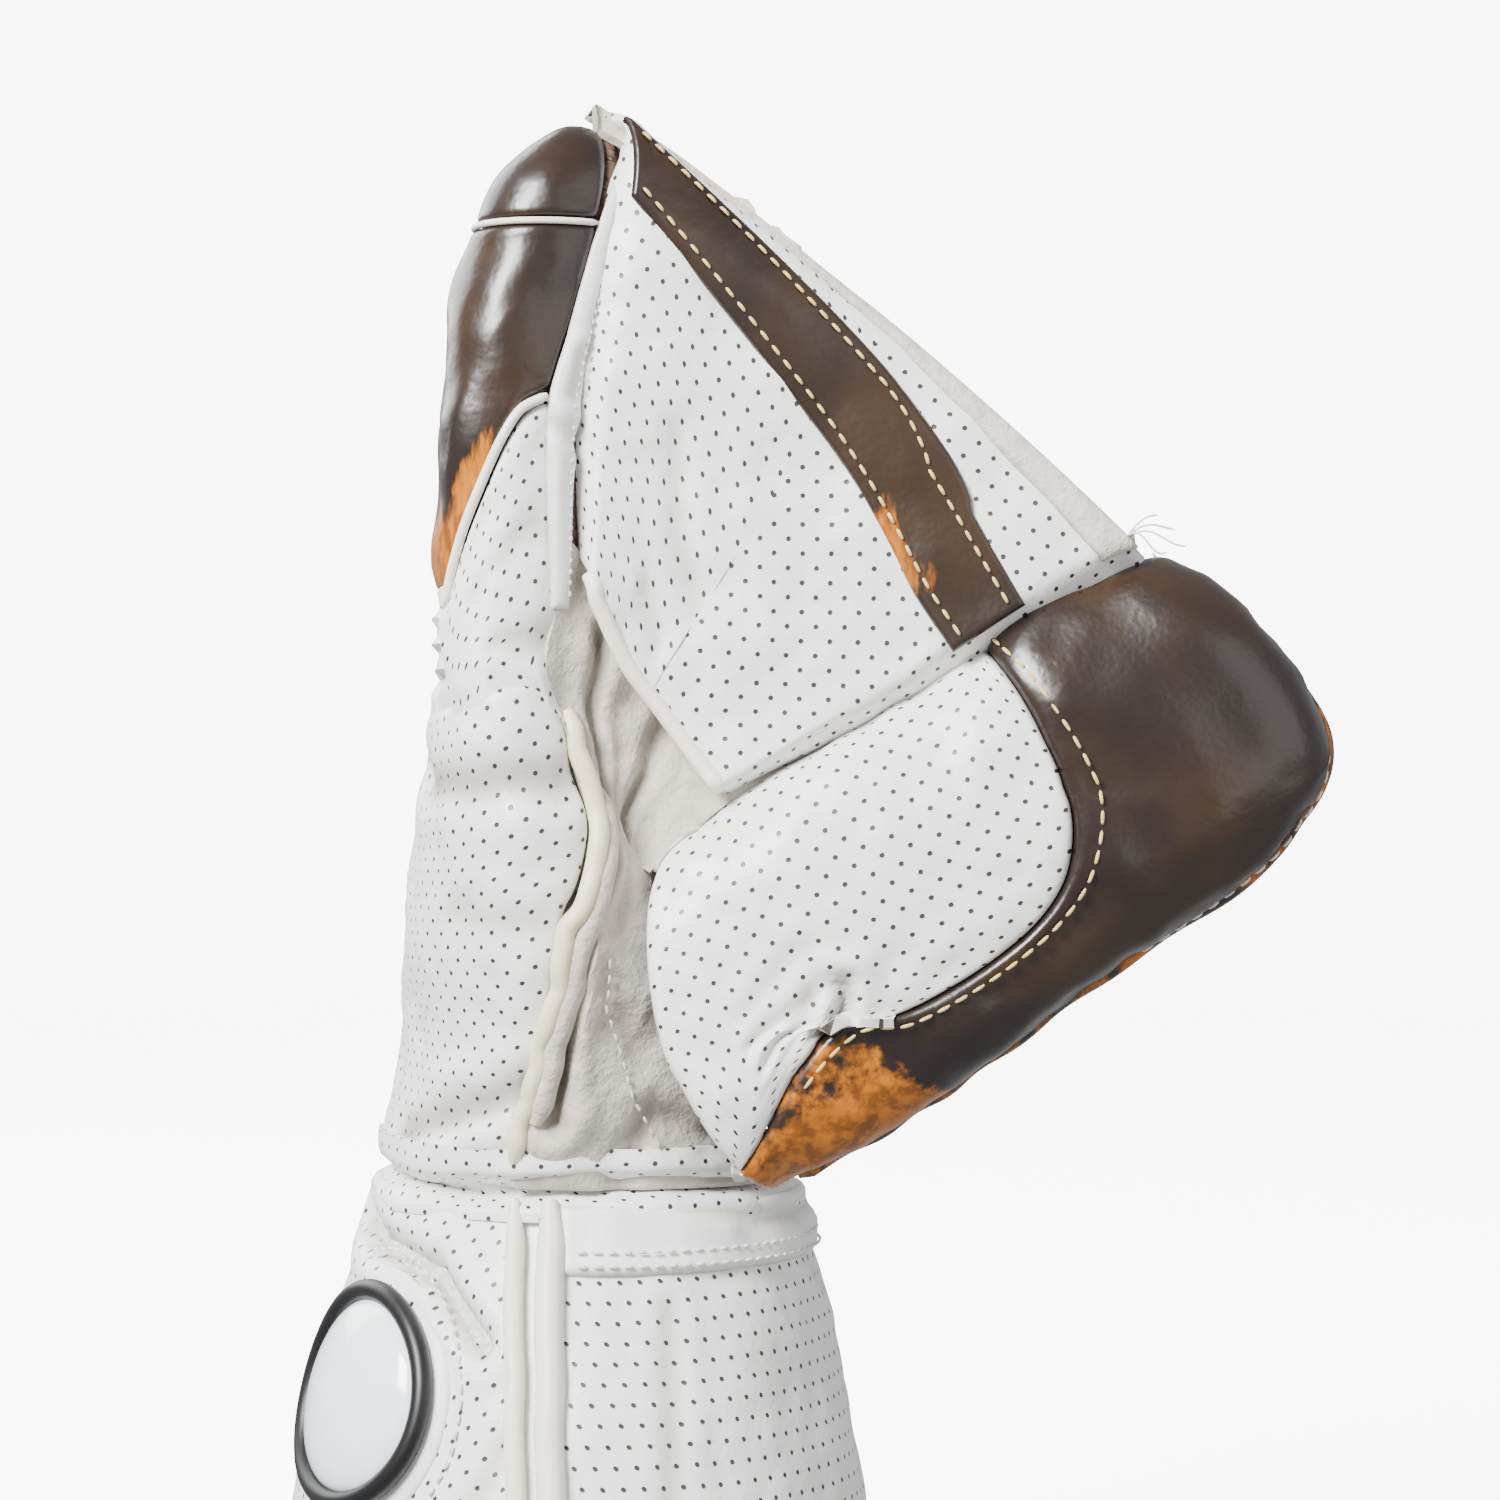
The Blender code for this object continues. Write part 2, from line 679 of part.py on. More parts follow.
def make_finger(finger, wrist):
    hinge = finger_centre(finger, 0) + Vector((STALL_HALF_X, 0, 0))
    flex = joint(f"{finger}_flex", hinge)
    gap = stall_turn(SEAM)
    corner = CORNER_ANGLE
    stall_sheet(f"{finger}_back", finger, 180 - corner + gap, 180 + corner - gap,
                BACK_WALL, BROWN_LEATHER, 4, flex)
    stall_sheet(f"{finger}_palm", finger, -corner + gap, corner - gap, PALM_WALL, RUBBER, 4, flex)
    stall_sheet(f"{finger}_side_radial", finger, 180 + corner + gap, 360 - corner - gap,
                SIDE_WALL, BROWN_LEATHER, 3, flex)
    stall_sheet(f"{finger}_side_ulnar", finger, corner + gap, 180 - corner - gap,
                SIDE_WALL, SUEDE, 3, flex)
    make_finger_tip(finger, flex)
    panel(f"{finger}_knuckle", make_knuckle(finger), (6, 2), KNUCKLE_SKIN, WHITE_LEATHER, wrist)
    return flex


def make_index_trim(flex):
    top = FINGER_LENGTH["index"] - TIP_HEIGHT

    def surface(angle, height):
        return finger_point("index", angle, height)

    def place(u, v):
        angle = mix(SEAM_STRIP_FROM, SEAM_STRIP_TO, u)
        return lifted(surface, angle, mix(WEB_FOOT, top, v), 2 * TOUCH)

    panel("index_seam_strip", place, (2, 8), SEAM_STRIP_SKIN, WHITE_LEATHER, flex, side=1)
    lift = FINGER_PIPE_RADIUS + 2 * TOUCH
    heights = steps(WEB_FOOT, top - FINGER_PIPE_RADIUS, 10)
    points = [lifted(surface, FINGER_PIPE_ANGLE, h, lift) for h in heights]
    rope("index_piping", points, FINGER_PIPE_RADIUS, CREAM, flex)


# ---------------------------------------------------------------- thumb


def thumb_sheet(name, from_angle, to_angle, from_station, to_station, skin, colour, counts, parent):
    """A wall of the thumb's stall; with no first station it starts where it leaves the hand."""

    def place(u, v):
        angle = mix(from_angle, to_angle, u)
        start = thumb_start(angle) if from_station is None else from_station
        return thumb_point(angle, mix(start, to_station, v))

    return panel(name, place, counts, skin, colour, parent)


def thumb_turn(width):
    return math.degrees(width / THUMB_SECTIONS[1][3]) / 2


def make_thumb():
    rear = thumb_start(270)
    flex = joint("thumb_flex", thumb_point(270, rear))
    gap = thumb_turn(2 * SEAM)
    cap = THUMB_CAP_START
    end = THUMB_STALL_END
    thumb_sheet("thumb_back_panel", THUMB_FRONT_FROM + gap, THUMB_FRONT_TO - gap, None, cap,
                THUMB_WALL, WHITE_LEATHER, (6, 6), flex)
    thumb_sheet("thumb_cap_back", THUMB_FRONT_FROM + gap, THUMB_FRONT_TO - gap, cap + SEAM, end,
                THUMB_CAP_WALL, BROWN_LEATHER, (6, 2), flex)
    thumb_sheet("thumb_cap_rim", THUMB_FRONT_TO + gap, THUMB_RIM_TO - gap, None, end,
                THUMB_CAP_WALL, BROWN_LEATHER, (6, 6), flex)
    thumb_sheet("thumb_palm", THUMB_RIM_TO + gap, THUMB_REAR_TO - gap, None, end,
                THUMB_WALL, RUBBER, (6, 6), flex)
    thumb_sheet("thumb_web_side", THUMB_REAR_TO + gap, 360 + THUMB_FRONT_FROM - gap, None, end,
                THUMB_WALL, WHITE_LEATHER, (4, 6), flex)
    make_thumb_tip(flex)
    stations = steps(THUMB_WELT_START, THUMB_WELT_END, 10)
    lift = THUMB_WELT_RADIUS + 2 * TOUCH
    points = [lifted(thumb_point, 180, s, lift) for s in stations]
    rope("thumb_rim_welt", points, THUMB_WELT_RADIUS, BROWN_LEATHER, flex)
    return flex


def make_thumb_tip(flex):
    base = THUMB_STALL_END + TIP_SEAM
    centre, half_width, half_depth = between(THUMB_SECTIONS, base)

    def place(x, y, h):
        middle = THUMB_BASE + ALONG * (base + THUMB_TIP_LENGTH * h) + ACROSS * centre
        return middle + ACROSS * half_width * x + FRONT * half_depth * y

    dome("thumb_tip", place, (16, 8), 1.0, BROWN_LEATHER, flex)


# ---------------------------------------------------------------- web


def make_web(wrist):

    def backing(u, v):
        return lifted(web_point, u, v, -(WEB_SKIN + LAYER_GAP))

    def stripe(u, v):
        return lifted(stripe_point, u, v, TOUCH * 2)

    panel("web_panel", web_point, (8, 6), WEB_SKIN, WHITE_LEATHER, wrist)
    panel("web_backing", backing, (8, 6), WEB_BACKING, SUEDE, wrist)
    panel("web_stripe", stripe, (8, 2), WEB_STRIPE_SKIN, BROWN_LEATHER, wrist, side=1)
    top = [web_edge(u, 1, TOP_BINDING_RADIUS) for u in steps(0.03, 0.97, 10)]
    rope("web_top_binding", top, TOP_BINDING_RADIUS, SUEDE, wrist)
    low = [web_edge(u, 0, LOW_BINDING_RADIUS) for u in steps(0.05, 0.95, 10)]
    rope("web_low_binding", low, LOW_BINDING_RADIUS, CREAM, wrist)


def web_edge(u, v, radius):
    """A binding's centre, beyond the web's edge and level with its two layers."""
    step = 0.01 if v else -0.01
    along = (web_point(u + 0.005, v) - web_point(u - 0.005, v)).normalized()
    out = web_point(u, v + step) - web_point(u, v)
    out = (out - along * out.dot(along)).normalized()
    depth = (WEB_SKIN + LAYER_GAP + WEB_BACKING) / 2
    return lifted(web_point, u, v, -depth) + out * (radius + BINDING_GAP)


# ---------------------------------------------------------------- glove


def main():
    clear_scene()
    collection = bpy.data.collections.new(GLOVE)
    bpy.context.scene.collection.children.link(collection)
    make_cuff()
    make_radial_strip()
    make_cuff_pipings()
    make_hem()
    make_badge()
    make_wrist_band()
    wrist = joint("wrist_flex", Vector((CUFF_X, CUFF_Y, CUFF_HEIGHT + WRIST_GAP / 2)))
    make_hand(wrist)
    make_radial_welt(wrist)
    flexes = {finger: make_finger(finger, wrist) for finger, _, _ in FINGERS}
    make_index_trim(flexes["index"])
    make_thumb()
    make_web(wrist)


main()
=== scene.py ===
"""Left-hand wicket-keeping glove: leather, suede, piping and stitching over the glove's frame.

Laid out as an add-on and run as a script. Sizes are metres in the glove's own frame: Z runs from
the hem to the fingertips, X points to the palm and Y from the thumb side to the little finger.
"""

import math

import bpy
import numpy as np
from bpy.props import FloatProperty, FloatVectorProperty, PointerProperty
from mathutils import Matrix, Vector, noise


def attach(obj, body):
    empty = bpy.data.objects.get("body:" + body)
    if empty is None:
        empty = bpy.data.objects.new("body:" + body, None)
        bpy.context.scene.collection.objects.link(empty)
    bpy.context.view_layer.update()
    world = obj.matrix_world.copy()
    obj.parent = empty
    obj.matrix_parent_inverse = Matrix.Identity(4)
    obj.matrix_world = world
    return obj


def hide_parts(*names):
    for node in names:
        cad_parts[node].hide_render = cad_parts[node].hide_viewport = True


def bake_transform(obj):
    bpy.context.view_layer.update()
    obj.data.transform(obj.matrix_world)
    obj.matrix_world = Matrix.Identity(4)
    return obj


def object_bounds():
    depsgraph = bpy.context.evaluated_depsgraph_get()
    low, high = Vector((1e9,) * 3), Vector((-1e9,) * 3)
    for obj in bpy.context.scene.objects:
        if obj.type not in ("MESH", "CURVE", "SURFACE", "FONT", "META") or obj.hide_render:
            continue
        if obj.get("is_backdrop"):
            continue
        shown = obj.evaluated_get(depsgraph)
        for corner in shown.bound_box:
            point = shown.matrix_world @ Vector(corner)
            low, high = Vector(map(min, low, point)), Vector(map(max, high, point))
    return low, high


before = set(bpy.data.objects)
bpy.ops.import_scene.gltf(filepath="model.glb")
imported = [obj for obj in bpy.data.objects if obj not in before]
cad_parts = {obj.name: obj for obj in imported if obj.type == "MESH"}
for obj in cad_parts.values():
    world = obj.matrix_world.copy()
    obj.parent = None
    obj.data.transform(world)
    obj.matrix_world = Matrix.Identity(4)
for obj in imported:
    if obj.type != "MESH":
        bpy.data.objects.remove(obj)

bl_info = {
    "name": "Wicket-keeping glove",
    "version": (1, 0, 0),
    "blender": (4, 5, 0),
    "location": "View3D > Sidebar > Glove",
    "description": "Dresses a wicket-keeping glove in leather, suede, piping and stitching",
    "category": "Object",
}

# ---------------------------------------------------------------- shape of the glove

CUFF_X = -0.0356
CUFF_Y = 0.0047
CUFF_HEIGHT = 0.112
HEM_HEIGHT = 0.006
MOUTH_HALF_X = 0.065
MOUTH_HALF_Y = 0.077
NECK_HALF_X = 0.045
NECK_HALF_Y = 0.051
NECK_LEAN = 0.0026
FLARE_POWER = 1.6
ULNAR_SEAM_ANGLE = 90
TOP_HEM_WIDTH = 0.0135
BADGE_ANGLE = 202
BADGE_HEIGHT = 0.071
WRIST_GAP = 0.010
HAND_Z = CUFF_HEIGHT + WRIST_GAP
HAND_HEIGHT = 0.103
KNUCKLE_Z = HAND_Z + HAND_HEIGHT
HAND_POWER = 2.4
KNUCKLE_LEAN = -0.0140
KNUCKLE_CUP = 0.24
BACK_EDGE_DROP = 0.010
# height over the heel, centre, half thickness, half width, cup
HAND_SECTIONS = (
    (0.0, 0.0, 0.0410, 0.0510, 0.0),
    (0.015, -0.0012, 0.0352, 0.0545, 0.02),
    (0.053, -0.0045, 0.0300, 0.0600, 0.16),
    (HAND_HEIGHT, KNUCKLE_LEAN, 0.0163, 0.0592, KNUCKLE_CUP),
)
STALL_HALF_X = 0.0145
STALL_POWER = 2.2
STALL_LEAN = 0.0020
TIP_LEAN = 0.0150
DOME_HEIGHT = 0.024
DOME_ARC = 0.031
STALL_FOOT = 0.0015
STALL_BACK_STEP = 0.0145
# centre across the hand, half width, length
FINGERS = {
    "index": (-0.0429, 0.0145, 0.1095),
    "middle": (-0.0133, 0.0145, 0.1130),
    "ring": (0.0163, 0.0145, 0.1050),
    "little": (0.0444, 0.0130, 0.0840),
}
THUMB_PLANE = math.radians(-15)
THUMB_SLOPE = math.radians(40.5)
THUMB_BASE_Z = 0.143
THUMB_BASE_OUT = 0.034
THUMB_DEPTH = 0.0430
THUMB_POWER = 2.5
THUMB_END = 0.1385
THUMB_DOME = 0.027
THUMB_DOME_ARC = 0.040
THUMB_DOME_POWER = 3.0
# station, centre, half width, half depth
THUMB_SECTIONS = (
    (-0.020, 0.0050, 0.0290, 0.0165),
    (0.020, 0.0050, 0.0370, 0.0180),
    (0.070, -0.0015, 0.0350, 0.0180),
    (0.110, -0.0060, 0.0345, 0.0160),
    (0.134, -0.0060, 0.0290, 0.0120),
)
# angle round the thumb, station where its wall leaves the hand
THUMB_STARTS = (
    (0, 0.0170), (45, 0.0045), (90, -0.0210), (135, -0.0065), (180, 0.0055),
    (225, -0.0060), (270, 0.0055), (315, 0.0170), (360, 0.0170),
)
WEB_STANDOFF = 0.0059
WEB_DISH = 0.003
WEB_FINGER_ANGLE = 311
WEB_THUMB_ANGLE = 24
WEB_FOOT = 0.0190
WEB_TOP = 0.1060
WEB_THUMB_FOOT = 0.036
WEB_THUMB_TOP = 0.124


def oval(angle, power):
    """A point on a unit oval; a power over 2 squares its corners."""
    turn = np.radians(angle)
    c = np.cos(turn)
    s = np.sin(turn)
    return np.sign(c) * np.abs(c) ** (2 / power), np.sign(s) * np.abs(s) ** (2 / power)


def between(sections, at):
    """The section's sizes at each station, on a smooth curve through the sections."""
    rows = np.array(sections, float)
    stations = rows[:, 0]
    last = len(rows) - 2
    at = np.asarray(at, float)
    i = np.clip((stations[None, :] <= at.reshape(-1, 1)).sum(axis=1) - 1, 0, last)
    before = np.maximum(i - 1, 0)
    after = np.minimum(i + 2, last + 1)
    span = stations[i + 1] - stations[i]
    t = np.clip((at.reshape(-1) - stations[i]) / span, -0.5, 1.5)[:, None]
    a = rows[i, 1:]
    b = rows[i + 1, 1:]
    slope_a = (b - rows[before, 1:]) / (stations[i + 1] - stations[before])[:, None] * span[:, None]
    slope_b = (rows[after, 1:] - a) / (stations[after] - stations[i])[:, None] * span[:, None]
    values = (
        (2 * t**3 - 3 * t**2 + 1) * a
        + (t**3 - 2 * t**2 + t) * slope_a
        + (3 * t**2 - 2 * t**3) * b
        + (t**3 - t**2) * slope_b
    )
    return [values[:, k].reshape(at.shape) for k in range(values.shape[1])]


def mix(a, b, share):
    return a + (b - a) * share


def curve_at(knots, at):
    """A value on a smooth curve through (place, value) knots."""
    return between(tuple((k[0], k[1]) for k in knots), at)[0]


def smooth(low, high, value):
    t = np.clip((value - low) / (high - low), 0, 1)
    return t * t * (3 - 2 * t)


def stack(x, y, z):
    return np.stack(np.broadcast_arrays(x, y, z), axis=-1)


def unit(vectors):
    return vectors / np.maximum(np.linalg.norm(vectors, axis=-1, keepdims=True), 1e-12)


def lifted(surface, u, v, distance, step=0.002):
    """Points over a surface, by their distance along its normal."""
    u = np.asarray(u, float)
    v = np.asarray(v, float)
    across = surface(u + step, v) - surface(u - step, v)
    along = surface(u, v + step) - surface(u, v - step)
    normal = unit(np.cross(across, along))
    return surface(u, v) + normal * np.asarray(distance, float)[..., None]


def cuff_point(angle, z):
    rise = np.clip(z / CUFF_HEIGHT, 0, 1.1)
    flare = rise**FLARE_POWER
    c, s = oval(angle, 2.0)
    x = CUFF_X + NECK_LEAN * rise**2 + mix(MOUTH_HALF_X, NECK_HALF_X, flare) * c
    y = CUFF_Y + mix(MOUTH_HALF_Y, NECK_HALF_Y, flare) * s
    return stack(x, y, z)


def hand_point(angle, z):
    centre, half_x, half_y, cup = between(HAND_SECTIONS, np.asarray(z, float) - HAND_Z)
    c, s = oval(angle, HAND_POWER)
    y = half_y * s
    return stack(CUFF_X + centre + half_x * c + cup * y, CUFF_Y + y, z)


def hand_top(angle):
    return KNUCKLE_Z - BACK_EDGE_DROP * (1 - np.cos(np.radians(angle))) / 2


def finger_centre(name, height):
    y, _, length = FINGERS[name]
    share = np.maximum(height, 0) / length
    x = KNUCKLE_LEAN + KNUCKLE_CUP * y + STALL_LEAN * share + TIP_LEAN * share**4
    return stack(CUFF_X + x, CUFF_Y + y, KNUCKLE_Z + height)


def finger_end(name):
    """The reach of a finger's very tip."""
    return FINGERS[name][2] - DOME_HEIGHT + DOME_ARC


def finger_point(name, angle, reach):
    """A point on a finger. Its reach is its height, and then runs over the dome's arc."""
    _, half, length = FINGERS[name]
    start = length - DOME_HEIGHT
    reach = np.asarray(reach, float)
    turn = np.clip((reach - start) / DOME_ARC, 0, 1) * math.pi / 2
    height = np.minimum(reach, start) + DOME_HEIGHT * np.sin(turn)
    shrink = np.maximum(np.cos(turn), 1e-3)
    c, s = oval(angle, STALL_POWER)
    return finger_centre(name, height) + stack(STALL_HALF_X * c * shrink, half * s * shrink,
                                               0 * turn)


def stall_foot(angle):
    return STALL_FOOT + STALL_BACK_STEP * (1 - np.cos(np.radians(angle))) / 2


RIGHT = np.array((math.cos(THUMB_PLANE), math.sin(THUMB_PLANE), 0))
FRONT = np.array((math.sin(THUMB_PLANE), -math.cos(THUMB_PLANE), 0))
ALONG = RIGHT * math.cos(THUMB_SLOPE) + np.array((0, 0, math.sin(THUMB_SLOPE)))
ACROSS = np.cross(FRONT, ALONG)
THUMB_BASE = np.array((CUFF_X, CUFF_Y, THUMB_BASE_Z)) + RIGHT * THUMB_BASE_OUT + FRONT * THUMB_DEPTH
THUMB_TIP = THUMB_END - THUMB_DOME + THUMB_DOME_ARC


def thumb_point(angle, reach):
    """A point on the thumb. Its reach is its station, and then runs over the dome's arc."""
    start = THUMB_END - THUMB_DOME
    reach = np.asarray(reach, float)
    turn = np.clip((reach - start) / THUMB_DOME_ARC, 0, 1) * math.pi / 2
    station = np.minimum(reach, start) + THUMB_DOME * np.sin(turn) ** (2 / THUMB_DOME_POWER)
    centre, half_width, half_depth = between(THUMB_SECTIONS, np.minimum(station, 0.120))
    c, s = oval(angle, THUMB_POWER)
    cosine = np.maximum(np.cos(turn), 1e-4)
    across = centre + half_width * c * cosine ** (2 / THUMB_DOME_POWER)
    depth = half_depth * s * cosine
    return (
        THUMB_BASE + station[..., None] * ALONG
        + across[..., None] * ACROSS + depth[..., None] * FRONT
    )


def face_angle(share):
    """The angle on the thumb's front at a share of its half width from the middle."""
    return math.degrees(math.acos(math.copysign(abs(share) ** (THUMB_POWER / 2), share)))


def thumb_start(angle):
    return np.interp(np.mod(angle, 360), *zip(*THUMB_STARTS))


def web_point(u, v):
    """The web's outer face: u from the finger to the thumb, v from its free edge to its top."""
    u = np.asarray(u, float)
    v = np.asarray(v, float)
    height = mix(WEB_FOOT, WEB_TOP, v)
    finger = lifted(lambda a, h: finger_point("index", a, h), WEB_FINGER_ANGLE + 0 * v, height,
                    WEB_STANDOFF + 0 * v)
    station = mix(WEB_THUMB_FOOT, WEB_THUMB_TOP, v)
    thumb = lifted(thumb_point, WEB_THUMB_ANGLE + 0 * v, station, WEB_STANDOFF + 0 * v)
    dish = WEB_DISH * np.sin(np.pi * np.clip(u, 0, 1))
    return finger + (thumb - finger) * u[..., None] - FRONT * dish[..., None]


# ---------------------------------------------------------------- sizes and colours


def length(name, description, default):
    return FloatProperty(name=name, description=description, default=default, min=0, unit="LENGTH",
                         precision=5)


def colour(name, description, red, green, blue):
    """A colour property, from the shade as a screen shows it."""
    default = tuple(
        ((c + 0.055) / 1.055) ** 2.4 if c > 0.04045 else c / 12.92 for c in (red, green, blue)
    )
    return FloatVectorProperty(name=name, description=description, default=default, size=3, min=0,
                               max=1,
                               subtype="COLOR")


class GloveSizes(bpy.types.PropertyGroup):
    leather: length("Leather", "Thickness of the leather panels", 0.0018)
    seam_roll: length("Seam roll", "How far a panel's edge rolls down into its seam", 0.0020)
    grain: length("Mesh step", "Distance between a panel's mesh points", 0.0017)
    hole_pitch: length("Hole pitch", "Distance between the ventilation holes", 0.0042)
    hole: length("Hole", "Radius of a ventilation hole", 0.00048)
    stitch: length("Stitch", "Length of a stitch", 0.0021)
    stitch_gap: length("Stitch gap", "Space between two stitches", 0.0010)
    thread: length("Thread", "Radius of the sewing thread", 0.00034)


class GloveColours(bpy.types.PropertyGroup):
    white: colour("White leather", "Panels of the cuff, hand and web", 0.930, 0.925, 0.915)
    brown: colour("Brown leather", "Finger backs, stripe and thumb cap", 0.110, 0.066, 0.058)
    olive: colour("Olive brown", "Where the brown leather is rubbed lighter", 0.215, 0.142, 0.060)
    amber: colour("Amber", "Flame pattern at the brown leather's ends", 0.700, 0.400, 0.010)
    gold: colour("Gold thread", "Stitching on the brown leather", 0.870, 0.770, 0.500)
    cream: colour("Cream", "Pipings and bindings", 0.910, 0.900, 0.850)
    suede: colour("Suede", "Gusset and the web's folded edges", 0.775, 0.745, 0.700)
    welt: colour("Yellow welt", "Welt along the gusset", 0.885, 0.855, 0.720)
    rubber: colour("Palm rubber", "Pimpled catching face", 0.330, 0.250, 0.190)
    lining: colour("Lining", "Towelling inside the cuff", 0.880, 0.880, 0.870)
    badge: colour("Badge", "Raised gloss of the badge", 0.930, 0.945, 0.965)
    black: colour("Black", "Badge border", 0.020, 0.020, 0.028)


# ---------------------------------------------------------------- materials


class Value:
    """A shader socket that takes part in sums."""

    def __init__(self, paint, socket):
        self.paint = paint
        self.socket = socket

    def maths(self, operation, a, b=0.0):
        return self.paint.node("ShaderNodeMath", {"operation": operation}, {0: a, 1: b})

    def __add__(self, other):
        return self.maths("ADD", self, other)

    def __radd__(self, other):
        return self.maths("ADD", other, self)

    def __sub__(self, other):
        return self.maths("SUBTRACT", self, other)

    def __rsub__(self, other):
        return self.maths("SUBTRACT", other, self)

    def __mul__(self, other):
        return self.maths("MULTIPLY", self, other)

    def __rmul__(self, other):
        return self.maths("MULTIPLY", other, self)

    def __pow__(self, other):
        return self.maths("POWER", self, other)

    def fract(self):
        return self.maths("FRACT", self)

    def between(self, low, high):
        """0 at low and 1 at high, smoothly."""
        return self.paint.node(
            "ShaderNodeMapRange", {"interpolation_type": "SMOOTHSTEP"}, {0: self, 1: low, 2: high}
        )


class Paint:
    """A material and the nodes in it."""

    def __init__(self, name, roughness=0.5, coat=0.0):
        self.material = bpy.data.materials.new(name)
        self.material.use_nodes = True
        self.tree = self.material.node_tree
        self.surface = self.tree.nodes["Principled BSDF"]
        self.surface.inputs["Roughness"].default_value = roughness
        self.surface.inputs["Coat Weight"].default_value = coat
        self.surface.inputs["Coat Roughness"].default_value = 0.2

    def node(self, kind, settings=None, inputs=None, output=0):
        made = self.tree.nodes.new(kind)
        for key, value in (settings or {}).items():
            setattr(made, key, value)
        for key, value in (inputs or {}).items():
            self.feed(made.inputs[key], value)
        return Value(self, made.outputs[output])

    def feed(self, socket, value):
        if isinstance(value, Value):
            self.tree.links.new(value.socket, socket)
        elif isinstance(value, (tuple, list)) and len(value) == 3 and socket.type == "RGBA":
            socket.default_value = (*value, 1)
        else:
            socket.default_value = value

    def place(self):
        return self.node("ShaderNodeTexCoord", output="Object")

    def measure(self):
        """The panel's own surface measure, in metres."""
        return self.node("ShaderNodeUVMap", {"uv_map": "Measure"})

    def painted(self, name):
        return self.node("ShaderNodeAttribute", {"attribute_name": name}, output="Fac")

    def split(self, vector):
        made = self.node("ShaderNodeSeparateXYZ", inputs={0: vector})
        outputs = made.socket.node.outputs
        return made, Value(self, outputs[1]), Value(self, outputs[2])

    def noise(self, scale, detail=2.0, vector=None, roughness=0.5):
        inputs = {"Scale": scale, "Detail": detail, "Roughness": roughness,
                  "Vector": vector or self.place()}
        return self.node("ShaderNodeTexNoise", inputs=inputs)

    def stretched(self, x, y, z, vector=None):
        return self.node("ShaderNodeVectorMath", {"operation": "MULTIPLY"},
                         {0: vector or self.place(), 1: (x, y, z)})

    def blend(self, share, a, b):
        return self.node("ShaderNodeMix", {"data_type": "RGBA"}, {0: share, 6: a, 7: b}, output=2)

    def bump(self, height, strength, distance, under=None):
        inputs = {"Height": height, "Strength": strength, "Distance": distance}
        if under:
            inputs["Normal"] = under
        return self.node("ShaderNodeBump", inputs=inputs)

    def finish(self, base=None, roughness=None, normal=None):
        for key, value in (("Base Color", base), ("Roughness", roughness), ("Normal", normal)):
            if value is not None:
                self.feed(self.surface.inputs[key], value)
        return self.material


def ventilation(paint, sizes, turned):
    """Rows of punched holes: 1 in a hole and 0 on the leather."""
    x, y, _ = paint.split(paint.measure())
    drift = paint.noise(60.0) * 0.16
    pitch = sizes.hole_pitch
    if turned:
        a = (x + y) * (1 / (pitch * math.sqrt(2))) + drift
        b = (x - y) * (1 / (pitch * math.sqrt(2))) + drift
    else:
        a = x * (1 / pitch) + drift
        b = y * (1 / pitch) + drift
    off_a = a.fract() - 0.5
    off_b = b.fract() - 0.5
    far = (off_a * off_a + off_b * off_b) ** 0.5
    edge = sizes.hole / pitch
    return far.between(edge * 1.25, edge * 0.80)


def leather_white(name, sizes, colours, holes=None):
    """Soft white leather: fine pebbles, painted shade in its creases and, if asked, punched holes.
    """
    paint = Paint(name, roughness=0.48, coat=0.06)
    base = Vector(colours.white)
    cloudy = paint.noise(22.0, 3.0).between(0.35, 0.75)
    tone = paint.blend(cloudy * 0.5, tuple(base), tuple(base * 0.90))
    # painted shade: darker in the creases and where the edges roll down into their seams
    crease_shade = paint.painted("crease_shade")
    tone = paint.blend(crease_shade * 0.75, tone, (0.30, 0.26, 0.23))
    speck = paint.noise(420.0, 2.0).between(0.68, 0.80)
    tone = paint.blend(speck * 0.12, tone, (0.45, 0.40, 0.36))
    pebble = paint.node("ShaderNodeTexVoronoi", {"feature": "SMOOTH_F1"},
                        {"Vector": paint.place(), "Scale": 900.0})
    normal = paint.bump(pebble, 0.10, 0.0004)
    fine = paint.noise(170.0, 4.0, roughness=0.6)
    normal = paint.bump(fine, 0.20, 0.0016, under=normal)
    if holes:
        hole = ventilation(paint, sizes, holes == "turned")
        tone = paint.blend(hole * 0.97, tone, (0.012, 0.009, 0.008))
        normal = paint.bump(1 - hole, 0.8, 0.0008, under=normal)
    rough = 0.40 + cloudy * 0.14
    return paint.finish(tone, rough, normal)


